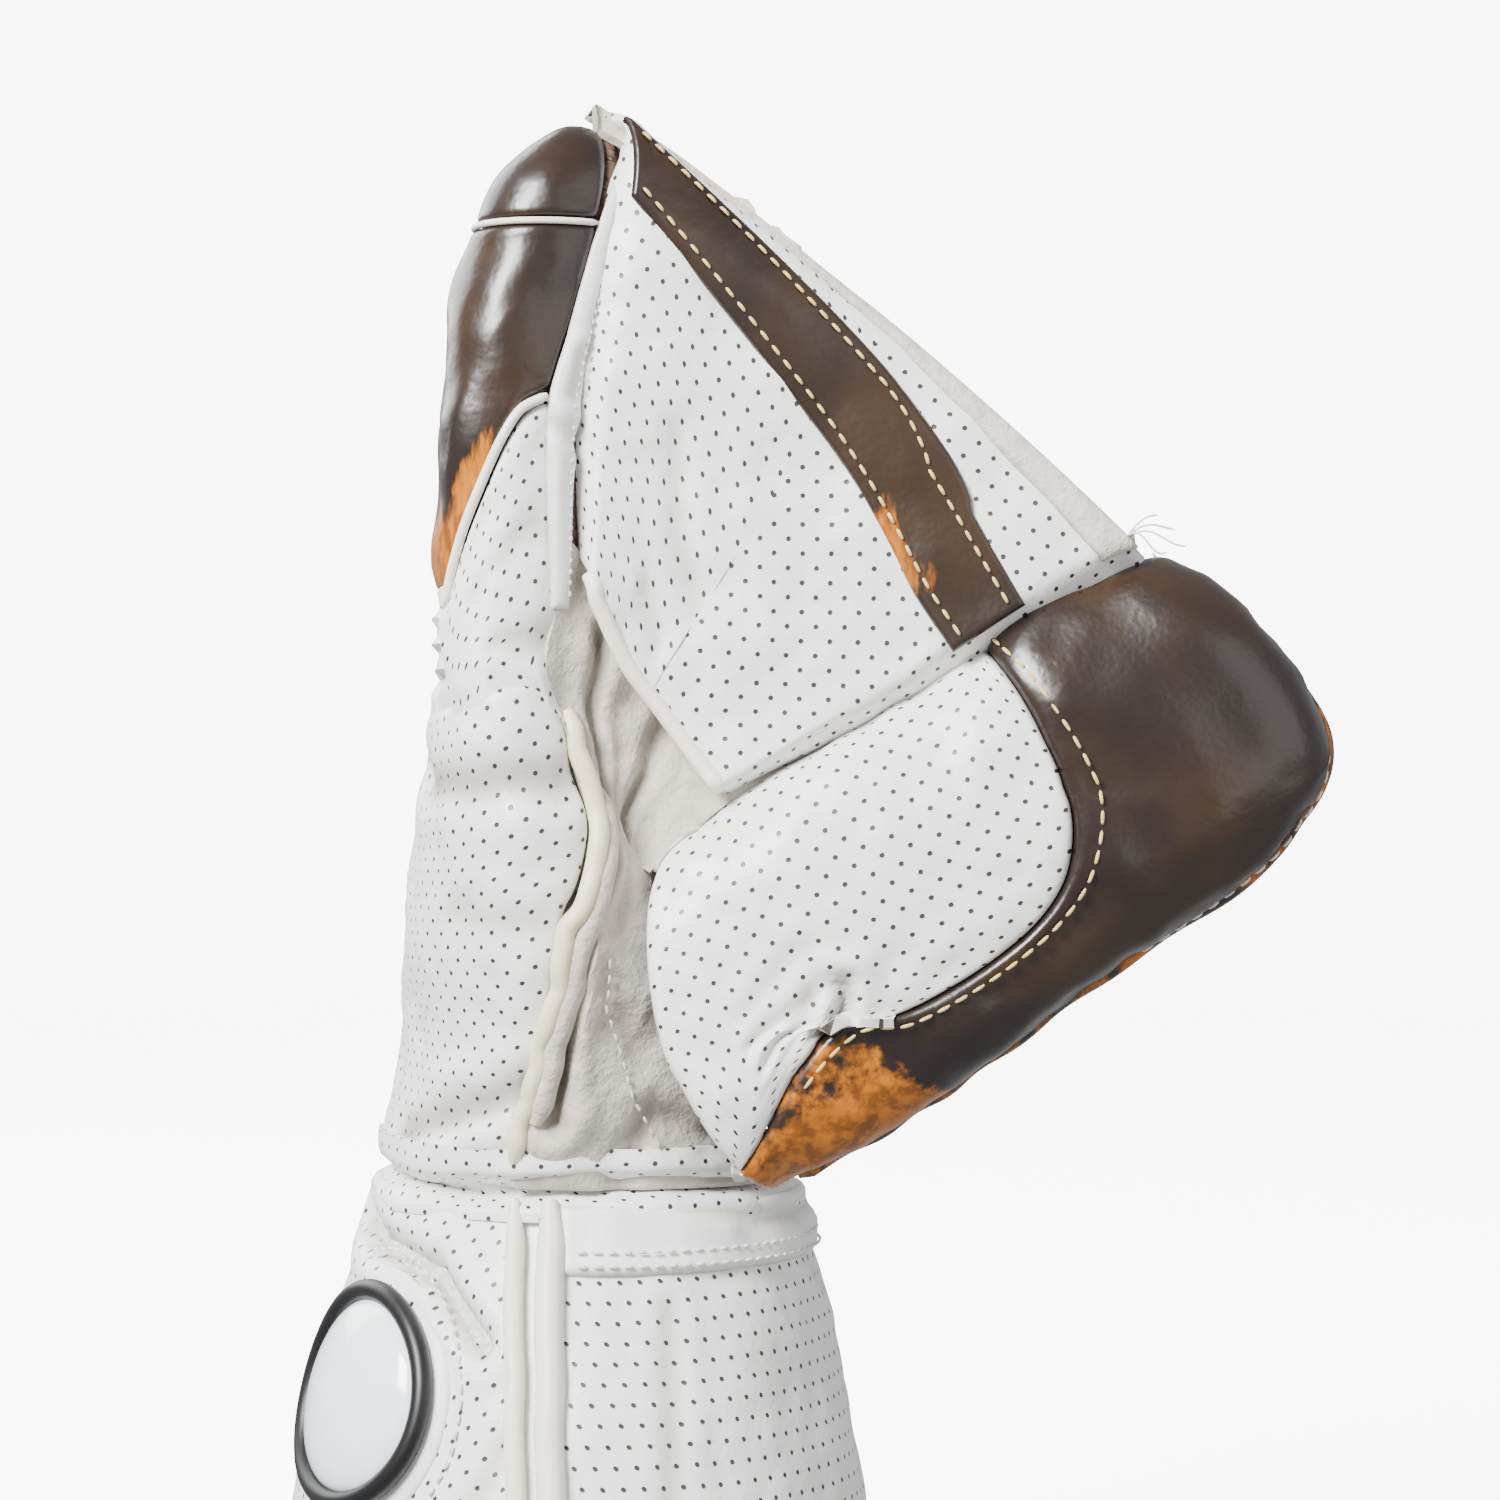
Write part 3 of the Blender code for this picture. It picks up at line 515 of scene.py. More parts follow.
def leather_brown(name, colours, streak=(60.0, 60.0, 14.0)):
    """Glossy brown leather, olive where rubbed and amber in ragged flames where painted so."""
    paint = Paint(name, roughness=0.30, coat=0.18)
    brown = Vector(colours.brown)
    cloudy = paint.noise(26.0, 4.0).between(0.36, 0.68)
    tone = paint.blend(cloudy * 0.75, tuple(brown), tuple(Vector(colours.olive)))
    dark = paint.noise(34.0, 3.0, paint.stretched(1.0, 1.3, 0.7)).between(0.45, 0.8)
    tone = paint.blend(dark * 0.7, tone, tuple(brown * 0.42))
    ragged = paint.noise(1.0, 4.0, paint.stretched(*(s * 3 for s in streak)), 0.65)
    fine = paint.noise(3.0, 3.0, paint.stretched(*(s * 3 for s in streak)), 0.6)
    torn = paint.painted("amber_share") * 1.30 + ragged * 1.6 + fine * 0.5 - 1.75
    flame = torn.between(0.0, 0.30)
    hot = paint.blend(fine.between(0.35, 0.65), tuple(Vector(colours.amber) * 0.40),
                      tuple(Vector(colours.amber)))
    tone = paint.blend(flame, tone, hot)
    # painted shade: darker in the creases and where the edges roll down into their seams
    crease_shade = paint.painted("crease_shade")
    tone = paint.blend(crease_shade * 0.6, tone, tuple(brown * 0.35))
    grain = paint.node("ShaderNodeTexVoronoi", {"feature": "SMOOTH_F1"},
                       {"Vector": paint.place(), "Scale": 760.0})
    normal = paint.bump(grain, 0.12, 0.0004)
    normal = paint.bump(paint.noise(160.0, 3.0), 0.14, 0.0016, under=normal)
    rough = 0.24 + paint.noise(48.0, 3.0) * 0.16
    return paint.finish(tone, rough, normal)


def suede_skin(name, base, depth=0.5):
    """Napped suede: matt, mottled and fuzzy."""
    paint = Paint(name, roughness=0.95)
    paint.surface.inputs["Sheen Weight"].default_value = 0.25
    base = Vector(base)
    patch = paint.noise(85.0, 5.0, roughness=0.68).between(0.36, 0.66)
    tone = paint.blend(patch * depth, tuple(base), tuple(base * 0.55))
    fibre = paint.noise(900.0, 3.0, roughness=0.7)
    tone = paint.blend(fibre.between(0.45, 0.75) * 0.35, tone, tuple(base * 0.78))
    # painted shade: darker in the creases and where the edges roll down into their seams
    tone = paint.blend(paint.painted("crease_shade") * 0.6, tone, (0.17, 0.14, 0.12))
    normal = paint.bump(fibre, 0.5, 0.0006)
    normal = paint.bump(paint.noise(190.0, 4.0, roughness=0.6), 0.6, 0.0022, under=normal)
    return paint.finish(tone, None, normal)


def piping_skin(name, base):
    """Smooth cream piping with faint smudges and wrinkles."""
    paint = Paint(name, roughness=0.42, coat=0.05)
    base = Vector(base)
    smudge = paint.noise(55.0, 4.0).between(0.45, 0.8)
    tone = paint.blend(smudge * 0.35, tuple(base), tuple(base * 0.76))
    normal = paint.bump(paint.noise(210.0, 3.0), 0.18, 0.0010)
    return paint.finish(tone, 0.38 + smudge * 0.2, normal)


PIMPLE_PITCH = 0.0034


def rubber_skin(name, colours):
    """Palm rubber with its rows of pimples."""
    paint = Paint(name, roughness=0.62)
    x, y, _ = paint.split(paint.measure())
    a = (x + y) * (1 / PIMPLE_PITCH)
    b = (x - y) * (1 / PIMPLE_PITCH)
    off_a = a.fract() - 0.5
    off_b = b.fract() - 0.5
    pimple = ((off_a * off_a + off_b * off_b) ** 0.5).between(0.36, 0.12)
    base = Vector(colours.rubber)
    worn = paint.noise(40.0, 4.0).between(0.4, 0.75)
    tone = paint.blend(worn * 0.6, tuple(base), tuple(base * 1.7))
    tone = paint.blend(pimple * 0.45, tone, tuple(base * 1.9))
    normal = paint.bump(pimple, 0.9, 0.0009)
    return paint.finish(tone, 0.55 + worn * 0.25, normal)


def lining_skin(name, colours):
    """Looped towelling."""
    paint = Paint(name, roughness=0.98)
    paint.surface.inputs["Sheen Weight"].default_value = 0.4
    base = Vector(colours.lining)
    loops = paint.node("ShaderNodeTexVoronoi", {"feature": "F1"},
                       {"Vector": paint.place(), "Scale": 620.0})
    tone = paint.blend(loops.between(0.1, 0.8), tuple(base), tuple(base * 0.72))
    normal = paint.bump(1 - loops, 0.8, 0.0009)
    return paint.finish(tone, None, normal)


def thread_skin(name, base):
    """Twisted sewing thread."""
    paint = Paint(name, roughness=0.62)
    base = Vector(base)
    twist = paint.noise(1300.0, 2.0)
    tone = paint.blend(twist.between(0.3, 0.7) * 0.45, tuple(base), tuple(base * 0.55))
    return paint.finish(tone, None, paint.bump(twist, 0.4, 0.0003))


def gloss_skin(name, base, roughness=0.12):
    """Moulded gloss plastic with faint smears."""
    paint = Paint(name, roughness=roughness, coat=0.6 if roughness < 0.3 else 0.0)
    base = Vector(base)
    smear = paint.noise(32.0, 3.0).between(0.4, 0.8)
    tone = paint.blend(smear * 0.25, tuple(base), tuple(base * 0.86))
    normal = paint.bump(paint.noise(46.0, 2.0), 0.05, 0.0020)
    return paint.finish(tone, roughness + smear * 0.10, normal)


# ---------------------------------------------------------------- builders


def only(obj):
    """Makes this the one selected and active object."""
    for other in bpy.context.selected_objects:
        other.select_set(False)
    obj.select_set(True)
    bpy.context.view_layer.objects.active = obj


def apply(obj, kind, **settings):
    only(obj)
    modifier = obj.modifiers.new(kind.title(), kind)
    for key, value in settings.items():
        setattr(modifier, key, value)
    bpy.ops.object.modifier_apply(modifier=modifier.name)


def dressed(obj, skin, sharp=None):
    """Gives a piece its material and shades it smooth, apart from edges over the sharp angle."""
    obj.data.materials.clear()
    obj.data.materials.append(skin)
    only(obj)
    if sharp:
        bpy.ops.object.shade_smooth_by_angle(angle=math.radians(sharp))
    else:
        bpy.ops.object.shade_smooth()
    return obj


def points_of(obj):
    return np.array([tuple(p.co) for p in obj.data.vertices])


def reshape(obj, points):
    obj.data.vertices.foreach_set("co", points.reshape(-1))
    obj.data.update()


def stations(length, step, roll):
    """Shares along a side, closer together where its ends roll down."""
    ends = [0.0, 0.12 * roll, 0.32 * roll, 0.62 * roll, roll, 1.6 * roll]
    inner = max(int((length - 3.2 * roll) / step), 2)
    middle = np.linspace(1.6 * roll, length - 1.6 * roll, inner + 1)[1:-1]
    at = np.concatenate([ends, middle, [length - e for e in reversed(ends)]])
    return at / length


def side_lengths(surface, counts=24):
    """Rough width and length of a surface over its unit square."""
    line = np.linspace(0, 1, counts)
    wide = max(
        np.linalg.norm(np.diff(surface(line, 0 * line + v), axis=0),
                       axis=1).sum() for v in (0.05, 0.5, 0.95)
    )
    tall = max(
        np.linalg.norm(np.diff(surface(0 * line + u, line), axis=0),
                       axis=1).sum() for u in (0.05, 0.5, 0.95)
    )
    return wide, tall


def creases(x, y, wide, tall, lines):
    """Folds along lines of (u, v) shares: each has its width and depth in metres."""
    total = 0 * x
    for line, width, depth in lines:
        far = np.full(x.shape, 1.0)
        for (u0, v0), (u1, v1) in zip(line, line[1:]):
            start = np.array((u0 * wide, v0 * tall))
            way = np.array((u1 * wide, v1 * tall)) - start
            share = np.clip(((x - start[0]) * way[0] + (y - start[1]) * way[1]) / (way @ way), 0, 1)
            off = np.hypot(x - start[0] - share * way[0], y - start[1] - share * way[1])
            far = np.minimum(far, off)
        total -= depth * np.exp(-((far / width) ** 2))
        total += depth * 0.45 * np.exp(-(((far - 2.0 * width) / (1.1 * width)) ** 2))
    return total


def rumple(points, scale, depth, seed=0.0):
    """Soft uneven swelling of padded leather."""
    shift = Vector((seed * 3.1, seed * 1.7, seed * 2.3))
    flat = points.reshape(-1, 3)
    waves = [noise.noise(Vector(p) * scale + shift) for p in flat]
    return depth * np.array(waves).reshape(points.shape[:-1])


def make_sheet(name, surface, skin, sizes, wall=None, roll=None, lift=0.0, crown=0.0, ruck=0.0005,
               folds=(), flame=None, edges="uUvV", step=None, seed=0.0):
    """A thick panel on a surface of (u, v) shares. Its edges roll into the seams and its face is
    crowned, rucked and folded. Letters in edges are the sides that roll: u, v low and U, V high."""
    wall = sizes.leather if wall is None else wall
    roll = sizes.seam_roll if roll is None else roll
    step = sizes.grain if step is None else step
    wide, tall = side_lengths(surface)
    across = stations(wide, step, roll)
    along = stations(tall, step, roll)
    u, v = np.meshgrid(across, along)
    base = surface(u, v)
    x = np.concatenate([0 * u[:, :1], np.linalg.norm(np.diff(base, axis=1), axis=2).cumsum(axis=1)],
                       axis=1)
    y = np.concatenate([0 * v[:1], np.linalg.norm(np.diff(base, axis=0), axis=2).cumsum(axis=0)],
                       axis=0)
    far = {"u": x, "U": x[:, -1:] - x, "v": y, "V": y[-1:] - y}
    edge = np.full(u.shape, 1.0)
    for letter in edges:
        edge = np.minimum(edge, far[letter])
    inside = np.clip(edge / roll, 0, 1)
    rolled = roll * (1 - np.sqrt(np.maximum(1 - (1 - inside) ** 2, 0)))
    reach = np.minimum(np.minimum(far["u"], far["U"]) / wide, np.minimum(far["v"], far["V"]) / tall)
    height = lift + crown * smooth(0, 0.5, reach)
    quiet = smooth(0, 0.006, edge)
    rucks = rumple(base, 55.0, ruck * 2.0, seed) + rumple(base, 150.0, ruck * 0.7, seed)
    height = height + rucks * quiet
    fold = creases(x / np.maximum(x[:, -1:], 1e-6) * wide, y / np.maximum(y[-1:], 1e-6) * tall,
                   wide, tall, folds)
    height = height + fold
    points = lifted(surface, u, v, height - rolled, step=1e-3)
    rows, columns = u.shape
    bpy.ops.mesh.primitive_grid_add(x_subdivisions=columns - 1, y_subdivisions=rows - 1, size=1)
    obj = bpy.context.object
    obj.name = name
    mesh = obj.data
    mesh.name = name
    mesh.vertices.foreach_set("co", points.reshape(-1))
    while mesh.uv_layers:
        mesh.uv_layers.remove(mesh.uv_layers[0])
    layer = mesh.uv_layers.new(name="Measure")
    corner = np.empty(len(mesh.loops), np.int32)
    mesh.loops.foreach_get("vertex_index", corner)
    centred = np.stack([x - x[:, -1:] / 2, y - y[-1:] / 2], axis=-1).reshape(-1, 2)
    layer.data.foreach_set("uv", centred[corner].reshape(-1).astype(np.float32))
    # painted shade mask: 1 where an edge rolls down into its seam and in the folds' creases
    crease_shade = np.clip(rolled / roll * 0.9 - fold / 0.0016, 0, 1)
    paint_points(mesh, "crease_shade", crease_shade)
    paint_points(mesh, "amber_share", 0 * u if flame is None else flame(u, v))
    mesh.update()
    apply(obj, "SOLIDIFY", thickness=wall, offset=-1, use_rim=True)
    return dressed(obj, skin, 50)


def paint_points(mesh, name, values):
    layer = mesh.attributes.new(name, "FLOAT", "POINT")
    layer.data.foreach_set("value", values.reshape(-1).astype(np.float32))


def make_tube(name, points, radius, skin, taper=True, sides=6, closed=False, amber=None):
    """A rounded piping, welt or binding along its path."""
    curve = bpy.data.curves.new(name, "CURVE")
    curve.dimensions = "3D"
    curve.bevel_depth = radius
    curve.bevel_resolution = sides
    curve.resolution_u = 6
    curve.use_fill_caps = True
    spline = curve.splines.new("BEZIER")
    spline.bezier_points.add(len(points) - 1)
    spline.use_cyclic_u = closed
    for k, knot in enumerate(spline.bezier_points):
        knot.co = points[k]
        knot.handle_left_type = "AUTO"
        knot.handle_right_type = "AUTO"
        knot.radius = 0.55 if taper and k in (0, len(points) - 1) else 1.0
    obj = bpy.data.objects.new(name, curve)
    bpy.context.scene.collection.objects.link(obj)
    only(obj)
    bpy.ops.object.convert(target="MESH")
    obj = bpy.context.object
    apply(obj, "WELD", merge_threshold=1e-6)
    if amber:
        paint_points(obj.data, "amber_share", np.full(len(obj.data.vertices), amber))
    return dressed(obj, skin, 60)


def resampled(points, pitch):
    """Points and directions at equal steps along a path."""
    points = np.asarray(points, float)
    run = np.concatenate([[0], np.linalg.norm(np.diff(points, axis=0), axis=1).cumsum()])
    count = max(int(run[-1] / pitch), 1)
    at = (np.arange(count) + 0.5) * run[-1] / count
    here = np.stack([np.interp(at, run, points[:, k]) for k in range(3)], axis=1)
    ahead = np.stack([np.interp(at + pitch / 4, run, points[:, k]) for k in range(3)], axis=1)
    behind = np.stack([np.interp(at - pitch / 4, run, points[:, k]) for k in range(3)], axis=1)
    return here, unit(ahead - behind), at / run[-1]


def make_stitches(name, path, outward, skin, sizes, length=None):
    """A row of stitches along a path: one stitch is modelled and repeated in the row's own mesh.
    path and outward give the points and surface normals along the row."""
    length = sizes.stitch if length is None else length
    here, ahead, share = resampled(path, length + sizes.stitch_gap)
    source = np.linspace(0, 1, len(outward))
    up = unit(np.stack([np.interp(share, source, outward[:, k]) for k in range(3)], axis=1))
    side = unit(np.cross(up, ahead))
    up = unit(np.cross(ahead, side))
    bpy.ops.mesh.primitive_uv_sphere_add(segments=8, ring_count=6, radius=1)
    stitch = bpy.context.object
    only(stitch)
    shape = points_of(stitch)
    ends = np.sign(shape[:, 2]) * np.abs(shape[:, 2]) ** 0.6
    run = ends * length / 2
    across = shape[:, 0] * sizes.thread * 1.15
    rise = shape[:, 1] * sizes.thread + sizes.thread * (0.55 - 0.9 * ends**4)
    faces = [list(p.vertices) for p in stitch.data.polygons]
    bpy.data.objects.remove(stitch)
    every = []
    for k in range(len(here)):
        bent = run[:, None] * ahead[k] + across[:, None] * side[k] + rise[:, None] * up[k]
        every.append(here[k] + bent)
    count = len(shape)
    mesh = bpy.data.meshes.new(name)
    mesh.from_pydata(
        np.concatenate(every).tolist(), [],
        [[i + k * count for i in f] for k in range(len(here)) for f in faces]
    )
    obj = bpy.data.objects.new(name, mesh)
    bpy.context.scene.collection.objects.link(obj)
    return dressed(obj, skin)


def stitch_row(name, surface, line, skin, sizes, lift=0.0, length=None):
    """Stitches along a line of (u, v) shares on a surface."""
    fine = np.linspace(0, len(line) - 1, 40 * (len(line) - 1) + 1)
    u = np.interp(fine, range(len(line)), [p[0] for p in line])
    v = np.interp(fine, range(len(line)), [p[1] for p in line])
    path = lifted(surface, u, v, lift + 0 * u, step=1e-3)
    outward = lifted(surface, u, v, lift + 1e-3 + 0 * u, step=1e-3) - path
    return make_stitches(name, path, outward, skin, sizes, length)


def span(surface, low_u, high_u, low_v, high_v):
    """The part of a surface between two places each way, as a surface of shares."""

    def place(u, v):
        return surface(mix(low_u, high_u, u), mix(low_v, high_v, v))

    return place


def loft(surface, low, high):
    """A surface of shares between two edges, each a line of (a, b) places on that surface."""

    def place(u, v):
        at_low = along_line(low, v)
        at_high = along_line(high, v)
        return surface(mix(at_low[0], at_high[0], u), mix(at_low[1], at_high[1], u))

    return place


def along_line(line, share):
    """A place on a smooth line through evenly spread knots."""
    knots = tuple((k / (len(line) - 1), *p) for k, p in enumerate(line))
    return between(knots, share)


def named(obj, nodes, slot):
    """Hides the frame nodes that a piece stands for. Its material slot is not used."""
    if nodes:
        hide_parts(*nodes)
    return obj


def rider(obj, body, *nodes, slot=None):
    """Fixes a piece to its body, standing for these frame nodes."""
    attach(obj, body)
    return named(obj, nodes, slot)


def joined(obj, a, b, start, end, *nodes, slot=None):
    """Bakes a piece's placement into its mesh, standing for these frame nodes. The two bodies are
    not used.
    """
    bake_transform(obj)
    return named(obj, nodes, slot)


# ---------------------------------------------------------------- seams and edges

# angle, height of the welt where the back's leather meets the gusset
WELT_LINE = ((240.0, 0.1215), (243.0, 0.1360), (260.0, 0.1590), (271.0, 0.1740), (286.0, 0.1880),
             (292.0, 0.2030), (296.0, 0.2180))
WELT_HEIGHTS = tuple((z, angle) for angle, z in WELT_LINE)
BACK_PIPE_LINE = ((0.0, 246.0), (0.057, 243.0), (0.084, 240.5), (0.112, 237.0))
PALM_PIPE_LINE = ((0.0, 252.5), (0.057, 250.0), (0.084, 248.5), (0.112, 246.5))
# angle, reach of the piping between the index finger's brown back and its white side
INDEX_PIPE_LINE = (
    (196.0, 0.0100), (202.5, 0.0125), (209.0, 0.0175), (221.0, 0.0255), (236.5, 0.0345),
    (251.5, 0.0435), (265.5, 0.0500), (283.0, 0.0530),
)
# reach, angle of the two edges of the strip that closes the index finger's side
STRIP_LOW = ((0.012, 292.0), (0.0195, 291.0), (0.038, 286.0), (0.052, 284.5), (0.0569, 287.5),
             (0.0684, 298.0), (0.0809, 304.0), (0.0934, 306.5), (0.1165, 309.0))
STRIP_HIGH = ((0.012, 312.0), (0.0195, 313.0), (0.038, 314.0), (0.052, 316.0), (0.0569, 318.5),
              (0.0684, 322.0), (0.0809, 328.0), (0.0934, 330.0), (0.1165, 334.0))
# how far, in degrees, the index finger's leathers run on under that strip
STRIP_LAP = 7.0
# share of the way to the thumb, share of the web's height: its edges, then its stripe's
WEB_LOW_EDGE = ((0.0, -0.045), (0.30, -0.080), (0.60, -0.060), (1.0, -0.035))
WEB_HIGH_EDGE = ((0.0, 1.155), (0.375, 1.110), (0.69, 1.050), (1.0, 1.0))
STRIPE_HIGH_EDGE = (
    (0.0, 1.015), (0.28, 0.985), (0.53, 0.945), (0.66, 0.905), (0.80, 0.860), (1.0, 0.785),
)
STRIPE_LOW_EDGE = (
    (0.0, 0.845), (0.21, 0.810), (0.48, 0.760), (0.61, 0.725), (0.74, 0.672), (0.86, 0.622),
    (1.0, 0.588),
)
# share of the half width, reach of the thumb's white panel: its outer edge, its seam, the rim
THUMB_PANEL_EDGE = (
    (-0.81, -0.014), (-0.475, -0.0135), (-0.09, -0.0115), (0.30, -0.0075), (0.70, 0.0015),
    (0.93, 0.0115), (1.0, 0.0250), (1.0, 0.0420), (1.0, 0.0600), (1.0, 0.0780), (1.0, 0.0930),
)
THUMB_CAP_SEAM = (
    (-0.81, -0.014), (-0.60, -0.0010), (-0.435, 0.0105), (-0.375, 0.0235), (-0.51, 0.0320),
    (-0.56, 0.0440), (-0.565, 0.0560), (-0.52, 0.0670), (-0.38, 0.0770), (0.05, 0.0875),
    (0.35, 0.0908), (0.62, 0.0930), (0.85, 0.0940), (1.0, 0.0945),
)
THUMB_RIM = (
    (-1.0, -0.012), (-1.0, 0.004), (-1.0, 0.016), (-1.0, 0.027), (-1.0, 0.038), (-1.0, 0.053),
    (-1.0, 0.070), (-1.0, 0.090), (-1.0, 0.112), (-1.0, 0.136), (-1.0, THUMB_TIP - 0.0006),
    (1.0, THUMB_TIP - 0.0020), (1.0, 0.131), (1.0, 0.112),
)


def on_thumb(line):
    """A line of (share, reach) on the thumb's front as (angle, reach)."""
    return tuple((face_angle(share), reach) for share, reach in line)


def glove_settings(context):
    return context.scene.glove_sizes, context.scene.glove_colours


class GLOVE_OT_cuff(bpy.types.Operator):
    """Makes the flared cuff: punched panels, lined padding, top hem and bound edge"""

    bl_idname = "glove.cuff"
    bl_label = "Cuff"

    def execute(self, context):
        sizes, colours = glove_settings(context)
        turned = leather_white("back_leather", sizes, colours, holes="turned")
        straight = leather_white("cuff_palm_leather", sizes, colours, holes="straight")
        plain = leather_white("plain_leather", sizes, colours)
        low = HEM_HEIGHT - 0.0008

        def back(u, v):
            z = mix(low, CUFF_HEIGHT, v)
            return cuff_point(mix(ULNAR_SEAM_ANGLE + 0.7, curve_at(BACK_PIPE_LINE, z) - 0.3, u), z)

        def palm(u, v):
            z = mix(low, CUFF_HEIGHT, v)
            return cuff_point(mix(curve_at(PALM_PIPE_LINE, z) + 0.3, 449.3, u), z)

        def strip(u, v):
            z = mix(low, CUFF_HEIGHT, v)
            return cuff_point(mix(curve_at(BACK_PIPE_LINE, z), curve_at(PALM_PIPE_LINE, z), u), z)

        folds = (
            (((0.50, 0.95), (0.66, 0.91), (0.86, 0.86), (0.95, 0.74)), 0.0034, 0.0034),
            (((0.99, 0.55), (0.93, 0.40), (0.90, 0.20)), 0.0030, 0.0008),
            (((0.20, 0.80), (0.42, 0.84)), 0.0035, 0.0008),
        )
        panel = make_sheet("cuff_back_leather", back, turned, sizes, folds=folds, crown=0.0012,
                           seed=1.0)
        rider(panel, "cuff", "cuff_back_panel", slot="white_leather")
        folds = (
            (((0.13, 0.80), (0.11, 0.45), (0.12, 0.10)), 0.0030, 0.0008),
            (((0.30, 0.96), (0.45, 0.80)), 0.0030, 0.0006),
        )
        panel = make_sheet("cuff_palm_leather", palm, straight, sizes, folds=folds, crown=0.0012,
                           seed=2.0)
        rider(panel, "cuff", "cuff_palm_panel", slot="white_leather")
        panel = make_sheet("cuff_side_strip", strip, plain, sizes, lift=-0.0012, edges="",
                           ruck=0.0002)
        rider(panel, "cuff", "cuff_radial_strip", slot="white_leather")

        def hem(u, v):
            z = mix(CUFF_HEIGHT - TOP_HEM_WIDTH, CUFF_HEIGHT + 0.0004, v)
            return cuff_point(mix(curve_at(PALM_PIPE_LINE, z) + 2.0, 449.0, u), z)

        folds = ((((0.16, 1.0), (0.30, 0.62), (0.52, 0.72), (0.62, 1.0)), 0.0026, 0.0010),)
        band = make_sheet("cuff_top_band", hem, plain, sizes, lift=0.0017, wall=0.0014, ruck=0.0007,
                          folds=folds,
                          crown=0.0006, seed=3.0)
        rider(band, "cuff", "cuff_top_hem", slot="white_leather")
        thread = thread_skin("white_thread", (0.80, 0.80, 0.78))
        for k, v in enumerate((0.10, 0.30)):
            row = stitch_row(f"hem_stitching_{k + 1}", hem, ((0.02, v), (0.98, v)), thread, sizes,
                             0.0021)
            rider(row, "cuff")
        lining = lining_skin("towelling", colours)
        wall = sizes.leather + 0.0006
        for name, place, seed in (("cuff_back_padding", back, 4.0),
                                  ("cuff_palm_padding", palm, 5.0)):
            pad = make_sheet(f"{name}_pad", place, lining, sizes, wall=0.0048, lift=-wall,
                             roll=0.0022, ruck=0.0002,
                             edges="uU", step=0.0026, seed=seed)
            rider(pad, "cuff", name, slot="lining")
        self.make_edge(colours)
        return {"FINISHED"}

    def make_edge(self, colours):
        """The bound lower edge: a rounded band folded round the panels and their padding."""
        bpy.ops.mesh.primitive_torus_add(major_segments=144, minor_segments=20, major_radius=1,
                                         minor_radius=0.25)
        band = bpy.context.object
        band.name = "hem_band"
        points = points_of(band)
        angle = np.degrees(np.arctan2(points[:, 1], points[:, 0]))
        out = (np.hypot(points[:, 0], points[:, 1]) - 1) / 0.25
        up = points[:, 2] / 0.25
        c, s = oval(angle, 2.0)
        square = 0.65
        out = np.sign(out) * np.abs(out) ** square
        up = np.sign(up) * np.abs(up) ** square
        half_wall = 0.0045
        middle = -0.0036
        ruck = rumple(cuff_point(angle, 0 * angle), 120.0, 0.00035, 6.0)
        grow = middle + out * (half_wall + ruck)
        x = CUFF_X + (MOUTH_HALF_X + grow) * c
        y = CUFF_Y + (MOUTH_HALF_Y + grow) * s
        z = HEM_HEIGHT / 2 + up * HEM_HEIGHT / 2
        reshape(band, stack(x, y, np.maximum(z, 0)))
        rider(dressed(band, piping_skin("hem_leather", colours.cream)), "cuff", "hem_binding",
              slot="cream_piping")


class GLOVE_OT_cuff_piping(bpy.types.Operator):
    """Makes the pair of cream pipings on the thumb side and the one on the little finger's side"""

    bl_idname = "glove.cuff_piping"
    bl_label = "Cuff piping"

    def execute(self, context):
        _, colours = glove_settings(context)
        cream = piping_skin("cream_piping", colours.cream)
        heights = np.linspace(HEM_HEIGHT, CUFF_HEIGHT + 0.001, 13)
        for name, line, radius in (
            ("radial_piping_back", BACK_PIPE_LINE, 0.0021),
            ("radial_piping_palm", PALM_PIPE_LINE, 0.0030),
            ("ulnar_piping", ((0.0, 90.0), (0.112, 90.0)), 0.0020),
        ):
            wander = 0.25 * np.sin(heights * 260)
            path = lifted(cuff_point, curve_at(line, heights) + wander, heights,
                          radius * 0.45 + 0 * heights)
            rider(make_tube(f"{name}_tube", path, radius, cream), "cuff", name, slot="cream_piping")
        return {"FINISHED"}


